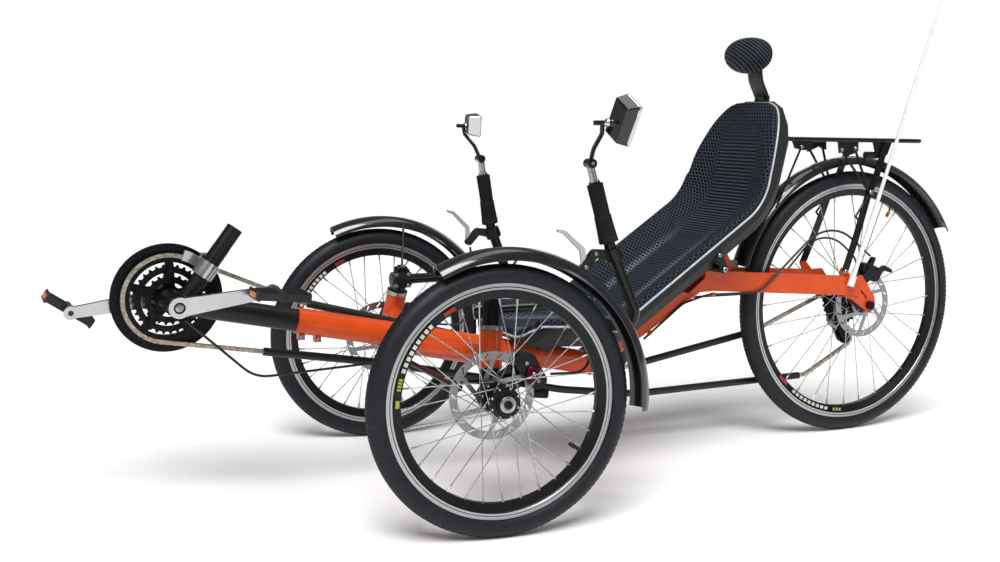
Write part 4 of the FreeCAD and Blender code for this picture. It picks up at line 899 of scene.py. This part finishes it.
def inflate(obj, held, cap_mm):
    """Cloth pressure swells the points that aren't held; each moves at most the cap."""
    mesh = obj.data
    rest = rows_of(mesh.vertices, "co")
    group = obj.vertex_groups.new(name="sewn")
    group.add(np.flatnonzero(held).tolist(), 1.0, "REPLACE")
    cloth = obj.modifiers.new("cloth", "CLOTH")
    cloth.settings.vertex_group_mass = "sewn"
    cloth.settings.use_pressure = True
    cloth.settings.uniform_pressure_force = PAD_PRESSURE
    cloth.settings.effector_weights.gravity = 0.0
    for f in range(1, SWELL_FRAMES + 1):
        bpy.context.scene.frame_set(f)
    shown = obj.evaluated_get(bpy.context.evaluated_depsgraph_get())
    move = rows_of(shown.data.vertices, "co") - rest
    far = np.maximum(np.linalg.norm(move, axis=1, keepdims=True), 1e-9)
    cap = cap_mm * MM
    obj.modifiers.remove(cloth)
    bpy.context.scene.frame_set(1)
    mesh.vertices.foreach_set("co", (rest + move * cap * np.tanh(far / cap) / far).ravel())
    mesh.update()
    obj.vertex_groups.clear()


def headrest():
    """Egg-shaped pad: ring t has y = 75 sin t and a section of half depth 37 cos t and
    half height 39 cos t, flatter behind, drawn down towards the stem and fuller at its
    left end. The cloth's ribs lean: its UV turns the outline by 45 degrees."""
    t = np.linspace(-math.pi / 2, math.pi / 2, 49)[:, None]
    a = np.linspace(math.pi, 3 * math.pi, 73)
    swell = np.abs(np.cos(t)) ** np.where(t > 0, 0.62, 0.9)
    back = np.where(np.cos(a) < 0, 0.8, 1.0)
    x = 37 * back * np.cos(a) * swell
    z = 39 * np.sin(a) * swell * (1 + 0.1 * (np.sin(a) < 0) * np.cos(t))
    y = np.broadcast_to(75 * np.sin(t), x.shape)
    points = np.stack([x - 766, y, z + 896], -1)
    out = 0.45 * y - 0.9 * x
    uv = np.stack([0.7 * (out - z), 0.7 * (out + z)], -1)
    return Shape(points, weave(49, 73), uv=uv.reshape(-1, 2))


def flat_bar(path, wide, thick):
    """Rounded bar across Y, carried along a path in the XZ plane."""
    p = np.asarray(path, float)
    t = unit(np.gradient(p, axis=0))
    n = np.stack([t[:, 2], np.zeros(len(p)), -t[:, 0]], -1)
    o = superellipse(wide / 2, thick / 2, 8, 28)
    points = p[:, None] + n[:, None] * o[:, 1:] + Y * o[:, :1]
    return Shape(points, weave(len(p), len(o), close_cols=True), end_caps(len(p), len(o)))


def soft_pad(node):
    """Hides the CAD node that the cover stands in for."""
    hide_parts(node)


def dress_seat():
    shape, held = seat_cover()
    cover = build("seat_cover", shape, SEAT_MESH, "frame")
    inflate(cover, held, 5.0)
    soft_pad("seat_pad")
    path, normals = seat_rim(1.0, -PAD_T + 2.6)
    build("seat_piping", tube(path, PIPING_R, 10, normals), PIPING, "frame")
    path = curve([(-777, 0, 655), (-787.5, 0, 700), (-808.3, 0, 790), (-806, 0, 806),
                  (-791, 0, 836), (-786, 0, 866)], 8)
    build("headrest_strap", flat_bar(path, 50, 7), BLACK_PAINT, "frame")
    pad = build("headrest_cover", headrest(), HEAD_MESH, "frame")
    x = rows_of(pad.data.vertices, "co")[:, 0] / MM - ORIGIN[0]
    inflate(pad, x < HEADREST_BACK_X, 3.0)
    soft_pad("headrest_pad")


# ------------------------------------------------------------------ chain
CHAIN_Y = -47.0
LINK_PITCH = 12.7
CHAIN_ROUND = (  # x, z, radius, +1 where it turns anticlockwise seen from the right
    (BB[0], BB[2], 82.0, 1), (214.5, 482.6, 120.0, -1), (-474.0, 205.0, 22.0, -1),
    (-789.0, 440.0, 200.0, -1), (-WHEELBASE, REAR_TYRE_R, 25.0, 1),
    (-7.0 - WHEELBASE, REAR_TYRE_R - 52, 20.0, -1), (-35.0 - WHEELBASE, REAR_TYRE_R - 101, 20.0, 1),
    (100.0 - WHEELBASE, REAR_TYRE_R - 126, 60.0, 1), (-528.0, 272.0, 150.0, 1),
    (-381.5, 442.7, 300.0, 1), (152.2, -56.9, 300.0, -1),
)


def chain_line():
    """Closed line of the chain: round each centre on its arc, then straight to the next
    along the line that touches both rounds."""
    rounds = [(np.array(r[:2]), r[2], r[3]) for r in CHAIN_ROUND]
    left = []
    for (c1, r1, s1), (c2, r2, s2) in zip(rounds, rounds[1:] + rounds[:1]):
        d = c2 - c1
        a = math.atan2(d[1], d[0]) - math.asin((s2 * r2 - s1 * r1) / np.hypot(*d))
        left.append(np.array([-math.sin(a), math.cos(a)]))
    points = []
    for (c, r, s), n0, n1 in zip(rounds, left[-1:] + left[:-1], left):
        p, q = -n0 * s, -n1 * s
        a0, a1 = math.atan2(p[1], p[0]), math.atan2(q[1], q[0])
        a = a0 + s * np.linspace(0, (s * (a1 - a0)) % (2 * math.pi), 40)
        points.append(c + r * np.stack([np.cos(a), np.sin(a)], -1))
    line = np.concatenate(points + [points[0][:1]])
    return run_along(line), line


def link_plates(inner):
    """Pair of waisted side plates: two round ends half a pitch either way, joined by a
    slimmer middle."""
    a = np.radians([0, 45, 90, 128, 232, 270, 315])
    end = np.stack([LINK_PITCH / 2 + 4.2 * np.cos(a[:4]), 4.2 * np.sin(a[:4])], -1)
    quarter = np.concatenate([end[:3], [[LINK_PITCH / 2 - 3.0, 3.2], [0, 2.7]]])
    upper = np.concatenate([quarter, quarter[-2::-1] * (-1, 1)])
    outline = np.concatenate([upper, upper[-2:0:-1] * (1, -1)])
    y0, y1 = (3.35, 4.0) if inner else (4.0, 4.7)
    return joined([plate(outline, y0, y1, 0.1), plate(outline, -y1, -y0, 0.1)])


def chain_links():
    """One pair of plates a pitch, inner and outer by turns, along the chain's line."""
    run, line = chain_line()
    count = 2 * int(run[-1] / LINK_PITCH / 2)
    s = np.arange(count + 1) * run[-1] / count
    pin = np.stack([np.interp(s, run, line[:, k]) for k in (0, 1)], -1)
    d = np.diff(pin, axis=0)
    middle = (pin[1:] + pin[:-1]) / 2
    places = [shift(x, CHAIN_Y, z) @ turn(Y, -math.atan2(v, u))
              for (x, z), (u, v) in zip(middle, d)]
    pins = lathe([(-5.2, 0), (-5.2, 1.8), (5.2, 1.8), (5.2, 0)], 6)
    return joined([copies(link_plates(True), places[::2]), copies(link_plates(False), places[1::2]),
                   copies(placed(pins, shift(LINK_PITCH / 2, 0, 0)), places)])


# ------------------------------------------------------------------ small fittings
STEM_TOP = 402.0
HEAD_TOP = 345.0
BAR_START = np.array([4.0, 222.0, 380.0])
BAR_NEXT = np.array([-150.0, 252.0, 385.0])
BAR_KNEE = np.array([-316.0, 290.0, 318.0])
GRIP_FOOT = np.array([-244.0, 292.0, 495.0])
GRIP_HEAD = np.array([-217.0, 281.0, 617.0])
KNEE_X = -359.0
COLLAR_X = 278.0
ARM_R, MAIN_R, HEAD_R = 19.0, 25.0, 22.0
BEAD_R = 2.6
CALIPER_AT = np.array([-74.0, 317.5, 276.0])
CRANK_LENGTH = 170.0
CRANK_ANGLE = math.radians(7.6)
CRANK_FACES = {"left": 78.0, "right": -84.0}  # the outer side of each arm
PEDAL_TILT = {"left": -5.0, "right": -34.0}
PEDAL_MIDDLE, PEDAL_END = 46.0, 83.2           # outwards from the arm
GUARD_FACE, GUARD_SCREWS_R = -63.0, 67.0
MIRROR_C = np.array([-239.0, 393.0, 731.0])
MIRROR_ROLL = {"left": 58.0, "right": 6.0}
MIRROR_BALL = np.array([-202.0, 381.0, 727.0])


def on_main(x):
    return np.array([x, 0.0, BB[2] - (BB[0] - x) * math.tan(math.radians(11.3))])


def pin_axis():
    """Direction of the left kingpin."""
    return unit((-math.tan(CASTOR), -math.tan(PIN_LEAN_IN), 1.0))


def on_pin(z):
    """Point at height z on the left kingpin's axis."""
    u = pin_axis()
    return PIN_POINT + u * ((z - PIN_POINT[2]) / u[2])


def weld(foot, direction, r, centre, axis, big_r):
    """Bead where a tube of radius r that leaves foot meets a larger round tube: each line
    of the tube's wall is followed to where its distance to the axis is big_r."""
    d, u = unit(direction), unit(axis)
    side = unit(np.cross(d, u))
    other = np.cross(d, side)
    a = np.linspace(0, 2 * math.pi, 48, endpoint=False)[:, None]
    start = np.asarray(foot, float) + r * (np.cos(a) * side + np.sin(a) * other)
    q = start - centre
    q, e = q - (q @ u)[:, None] * u, d - (d @ u) * u
    b, c = q @ e, (q * q).sum(1) - big_r ** 2
    t = (-b + np.sqrt(np.maximum(b * b - (e @ e) * c, 0))) / (e @ e)
    path = start + t[:, None] * d
    return tube(path, BEAD_R, 8, path - np.asarray(foot) + 1e-3)


def welds():
    """Beads at both ends of each cross arm."""
    beads = []
    for side in (1, -1):
        root = on_main(45) - (0, 0, 17)
        end = on_pin(302) * (1, side, 1)
        main = on_main(KNEE_X)
        beads.append(weld(root, end - root, ARM_R, main, on_main(COLLAR_X) - main, MAIN_R))
        beads.append(weld(end, root - end, ARM_R, end, pin_axis() * (1, side, 1), HEAD_R))
    return joined(beads)


def hex_bolt(r, head):
    """Socket screw head along +Y: chamfered rim and a six-sided well."""
    wall = lathe([(-1.0, 0), (-1.0, r), (head * 0.75, r), (head, r * 0.82), (head, r * 0.52)], 24)
    well = lathe([(head, r * 0.52), (head * 0.3, r * 0.5), (head * 0.3, 0)], 6)
    return joined([wall, well])


def acorn(r, head):
    """Domed cap screw along +Y: height head (1 - 0.65 (radius / r)^3)."""
    rim = np.linspace(1, 0, 6)
    return lathe([(-1.0, 0), (-1.0, r)] + [(head * (1 - 0.65 * k ** 3), r * k) for k in rim], 18)


def bolts(r, head, places, kind=hex_bolt):
    return copies(kind(r, head), [aim(p, d) for p, d in places])


def frame_bolts():
    """Collar clamp, seat plates, dropouts, carrier tabs, legs and lamp, on both sides."""
    found = []
    for x in (COLLAR_X - 10, COLLAR_X - 42):
        p = on_main(x) - (0, 0, 30.5)
        found += [(5.0, p + Y * 9, Y), (5.0, p - Y * 9, -Y)]
    rear = ((63, 61, 75.2, 4.2), (79, 83, 75.2, 4.2), (87, 368, 60.2, 4.4), (46, 372, 60.2, 4.4),
            (-38, 366, 60.2, 4.4), (205, 374, 60.2, 4.0), (7, 269, 74.6, 5.2), (79, 84, 80.6, 4.6))
    for side in (1, -1):
        for x, z, out, r in rear:
            found.append((r, (x - WHEELBASE, side * out, z + REAR_TYRE_R), Y * side))
        for x, z in ((-606, 427), (-592, 458)):
            found.append((6.0 if z < 440 else 4.5, (x, side * 160.2, z), Y * side))
    return joined([bolts(r, r * 0.8, [(p, d)]) for r, p, d in found])


def cable_clips():
    """Saddle clips that hold the housings: rings about the cable where it meets the frame."""
    rings = [((-505, 28.5, 274), (-100, 0, 74)), ((-655, 49.5, 356.3), (-130, 19, 2)),
             ((-505, -28.5, 273), (-100, 0, 70))]
    return joined([placed(ring([(-5, 2.7), (5, 2.7), (5, 4.4), (-5, 4.4)], 20), aim(p, d))
                   for p, d in rings])


DISC_SCREWS_R = 18.6
FRONT_SCREW_FACE, REAR_SCREW_FACE = -51.2, 55.0
SPOKE_HEADS_R = 25.6


def disc_bolts(y, out):
    """Six screws that hold the disc to its hub, DISC_SCREWS_R from the axle."""
    a = np.radians(np.arange(6) * 60 + 15)
    return bolts(3.0, 1.6, [(p, (0, out, 0)) for p in about_y(a, y, DISC_SCREWS_R)])


def spoke_heads(flange_ys):
    """Round head of every spoke, outside or inside its flange by turns."""
    heads = []
    for side, flange in enumerate(flange_ys):
        out = 1 if flange > 0 else -1
        for i in range(SPOKE_COUNT // 2):
            a = 4 * math.pi / SPOKE_COUNT * (i + side / 2)
            d = out if i % 2 else -out
            heads.append((about_y(a, flange + d * 1.5, SPOKE_HEADS_R), (0, d, 0)))
    return bolts(2.2, 1.6, heads, acorn)


def dress_steering(side):
    """Bolts, rings and knobs of one side's steering, laid out straight ahead on the left."""
    place, body = SIDES[side], "steer_" + side
    run = unit(BAR_NEXT - BAR_START)
    face = BAR_START + run * 23 - Y * 17.2
    screws = [(face + run * u + np.array([0, 0, v]), -Y) for u in (-14, 14) for v in (-12, 12)]
    top = on_pin(STEM_TOP) + pin_axis() * 5.5
    silver = [bolts(3.6, 2.6, screws), bolts(6.5, 3.0, [(top, pin_axis())]),
              bolts(4.5, 3.5, [(CALIPER_AT + Y * 19.5, Y)], acorn),
              bolts(3.6, 3.0, [((-84, 331.7, 262), Y), ((-62, 331.7, 296), Y)]),
              bolts(4.0, 3.0, [((-192, 299.4, 460), Y), ((-212, 299.4, 484), Y)]),
              bolts(3.4, 2.6, [((-190, 374, 727), (1, 0, 0)), ((-209, 294.4, 652), Y)])]
    build(body + "_bolts", joined(silver), BOLT_STEEL, body, place)
    knob = lathe([(0, 0), (0, 14.2), (1.0, 14.6), (4.2, 14.6), (5.2, 13.6), (5.2, 6.5), (4.4, 6.0),
                  (4.4, 0)], 40)
    build(body + "_pad_knob", placed(knob, shift(*(CALIPER_AT + Y * 14))), RED_ANODISED, body,
          place)
    ring_out = lathe([(38.5, 0), (38.5, 14.4), (40.6, 14.4), (41.6, 12.6), (41.6, 9.0), (40.4, 8.6),
                      (40.4, 0)], 40)
    build(body + "_axle_cap", placed(ring_out, ON_AXLE), BOLT_STEEL, body, place)
    build(body + "_axle_hex", placed(hex_bolt(7.5, 3.4), ON_AXLE @ shift(0, 40.6, 0)), ANODISED,
          body, place)
    rows = [lathe([(h - 1.1, r), (h - 0.5, r + 0.55), (h + 0.5, r + 0.55), (h + 1.1, r)], 40)
            for h, r in ((59.5, 15.9), (56.0, 16.2), (13.0, 18.3), (16.5, 18.1), (20.0, 17.9))]
    on_grip = aim(GRIP_FOOT, GRIP_HEAD - GRIP_FOOT)
    build(body + "_grip_beads", placed(joined(rows), on_grip), RUBBER, body, place)
    leg = GRIP_FOOT - BAR_KNEE
    perch = placed(lathe([(-7, 15.9), (-7, 17.7), (7, 17.7), (7, 15.9)], 40),
                   aim(GRIP_FOOT - leg * 0.0777, leg))
    build(body + "_clamp_band", perch, GLOSS_BLACK, body, place)
    head = mirror_place(side)
    glass = plate_x(superellipse(39.5, 23.5, 14), -0.6, 0.5)
    build("mirror_glass_" + side, placed(glass, head), GLASS, body, place, 30)
    back = plate_x(superellipse(32.0, 18.0, 10), 29.6, 31.2)
    build("mirror_back_" + side, placed(back, head), BLACK_BACK_AND_PAINTED_REFLECTION, body, place, 30)


def plate_x(outline, x0, x1):
    """Flat plate with a YZ outline from x0 to x1."""
    flat = plate(outline, x0, x1, 0.3)
    return Shape(flat.points[:, [1, 0, 2]], flat.quads, flat.others)


MIRROR_PAINTED_REFLECTION_FACES = {  # faces of the chrome housing given black plastic as a painted dark reflection, by side
    "left": lambda x, y, z: x > 7,
    "right": lambda x, y, z: (np.abs(z) > 20) & (np.abs(y) < 33)}


def mirror_place(side):
    """From the glass's middle, +X to the housing's back, to its place on the left side."""
    return shift(*MIRROR_C) @ turn((0, 0, 1), math.radians(10)) @ turn(
        (1, 0, 0), math.radians(MIRROR_ROLL[side]))


def crank_end(side):
    return BB + (-side * CRANK_LENGTH * math.cos(CRANK_ANGLE), 0,
                 side * CRANK_LENGTH * math.sin(CRANK_ANGLE))


def dress_drive():
    build("chain_links", chain_links(), CHAIN_STEEL, "frame", REST, 30)
    a = np.radians(72 * np.arange(5) + 20)
    guard = [(BB + p, -Y) for p in about_y(a, GUARD_FACE, GUARD_SCREWS_R)]
    build("guard_bolts", bolts(5.0, 2.2, guard), BOLT_STEEL, "crank")
    for name, face in CRANK_FACES.items():
        side = 1 if face > 0 else -1
        wall = placed(lathe([(-3.6, 10.3), (-0.2, 10.3), (0.4, 9.8), (0.4, 8.3), (-2.0, 8.0)], 32),
                      shift(*BB) @ aim((0, face, 0), Y * side))
        build("crank_ring_" + name, wall, RUBBER, "crank")
        build("crank_bolt_" + name, placed(hex_bolt(7.8, 2.6), shift(*BB) @ aim(
            (0, face - side * 3.4, 0), Y * side)), BOLT_STEEL, "crank")
        tilt = turn(Y, math.radians(PEDAL_TILT[name]))
        place = shift(*crank_end(side)) @ tilt
        middle = face + side * PEDAL_MIDDLE
        lamps = [placed(plate_x(superellipse(19, 4.6, 8), 47.4, 50.6), shift(0, middle, 0) @ m)
                 for m in (np.eye(4), turn((0, 0, 1), math.pi))]
        build("pedal_reflectors_" + name, joined(lamps), AMBER, "pedal_" + name, place)
        end = placed(acorn(8.6, 3.0), aim((0, face + side * PEDAL_END, 0), Y * side))
        build("pedal_cap_" + name, end, RUBBER, "pedal_" + name, place)


def dress_fittings():
    build("frame_bolts", frame_bolts(), BOLT_STEEL, "frame")
    build("weld_beads", welds(), ORANGE, "frame")
    build("cable_clips", cable_clips(), ORANGE, "frame")
    for side in ("left", "right"):
        dress_steering(side)
    for wheel, place in WHEELS.items():
        rear = wheel == "rear_wheel"
        screws = disc_bolts(REAR_SCREW_FACE, 1) if rear else disc_bolts(FRONT_SCREW_FACE, -1)
        build(wheel + "_spoke_heads", spoke_heads(WHEEL_SIZES[rear][2]), BOLT_STEEL, wheel, place)
        build(wheel + "_disc_bolts", screws, BOLT_STEEL, wheel, place)


# ------------------------------------------------------------------ stage, light and camera
CAMERA_AT = np.array([870.2, 2239.3, 725.7])
CAMERA_AZIMUTH = math.radians(63.53)
CAMERA_HEIGHT = math.radians(4.24)
CAMERA_ROLL = math.radians(1.15)
SENSOR_MM = 36.0
FOCAL_WIDTHS = 1.188            # the lens, in widths of the picture
AXIS_AT = (0.54067, 0.21356)    # where the axis meets the picture, in its widths
HALF_HEIGHT = 0.281


def camera():
    """Camera that looks along -b, its sides turned by the roll."""
    a, e, r = CAMERA_AZIMUTH, CAMERA_HEIGHT, CAMERA_ROLL
    back = np.array([math.cos(e) * math.cos(a), math.cos(e) * math.sin(a), math.sin(e)])
    level = unit(np.cross((0, 0, 1), back))
    above = np.cross(back, level)
    right = math.cos(r) * level + math.sin(r) * above
    up = math.cos(r) * above - math.sin(r) * level
    data = bpy.data.cameras.new("camera")
    data.sensor_width = SENSOR_MM
    data.lens = SENSOR_MM * FOCAL_WIDTHS
    data.shift_x = 0.5 - AXIS_AT[0]
    data.shift_y = AXIS_AT[1] - HALF_HEIGHT
    data.clip_start, data.clip_end = 0.05, 60.0
    obj = in_scene("camera", data)
    m = np.eye(4)
    m[:3, 0], m[:3, 1], m[:3, 2] = right, up, back
    m[:3, 3] = (CAMERA_AT + ORIGIN) * MM
    obj.matrix_world = Matrix(m.tolist())
    bpy.context.scene.camera = obj


def area_light(name, at, towards, size, power):
    """Rectangular light that faces a point; its places and sizes are in metres."""
    data = bpy.data.lights.new(name, "AREA")
    data.shape, data.size, data.size_y = "RECTANGLE", size[0], size[1]
    data.energy = power
    obj = in_scene(name, data)
    obj.location = at
    obj.rotation_euler = (Vector(towards) - Vector(at)).to_track_quat("-Z", "Y").to_euler()


def soft_sun(towards, angle, strength):
    """Even light from a wide round source, which leaves the floor equally bright all over."""
    data = bpy.data.lights.new("soft_sun", "SUN")
    data.angle, data.energy = math.radians(angle), strength
    obj = in_scene("soft_sun", data)
    obj.rotation_euler = Vector(towards).to_track_quat("Z", "Y").to_euler()


def stage():
    """Pale floor and soft light from above, the camera's side and behind."""
    mesh = bpy.data.meshes.new("floor")
    mesh.from_pydata([(-12, -12, 0), (12, -12, 0), (12, 12, 0), (-12, 12, 0)], [], [(0, 1, 2, 3)])
    mesh.materials.append(finish("matt_pale_floor", Base_Color=srgb("#FAFAFA"), Roughness=0.95,
                                 Specular_IOR_Level=0.1)[0])
    in_scene("floor", mesh)
    world = bpy.data.worlds.new("studio")
    bpy.context.scene.world = world
    world.use_nodes = True
    t = world.node_tree
    t.nodes["Background"].inputs["Color"].default_value = srgb("#FFFFFF")
    seen = add(t, "ShaderNodeLightPath").outputs["Is Camera Ray"]
    t.links.new(span(t, seen, 0.2, 1.0), t.nodes["Background"].inputs["Strength"])
    soft_sun((0.35, 0.6, 1.0), 34, 3.35)
    area_light("top", (-0.2, 0.2, 3.4), (0, 0, 0.3), (2.6, 1.0), 15)
    area_light("side", (-2.2, 3.2, 1.6), (-0.2, 0, 0.4), (0.5, 1.8), 10)
    area_light("rear", (-2.6, -2.4, 2.2), (0, 0, 0.5), (1.6, 1.2), 8)
    bpy.context.scene.view_settings.view_transform = "Standard"


def keep_sizes():
    """Brings the view layer up to date."""
    bpy.context.view_layer.update()


dress_cad()
dress_wheels()
dress_seat()
dress_drive()
dress_fittings()
camera()
stage()
keep_sizes()
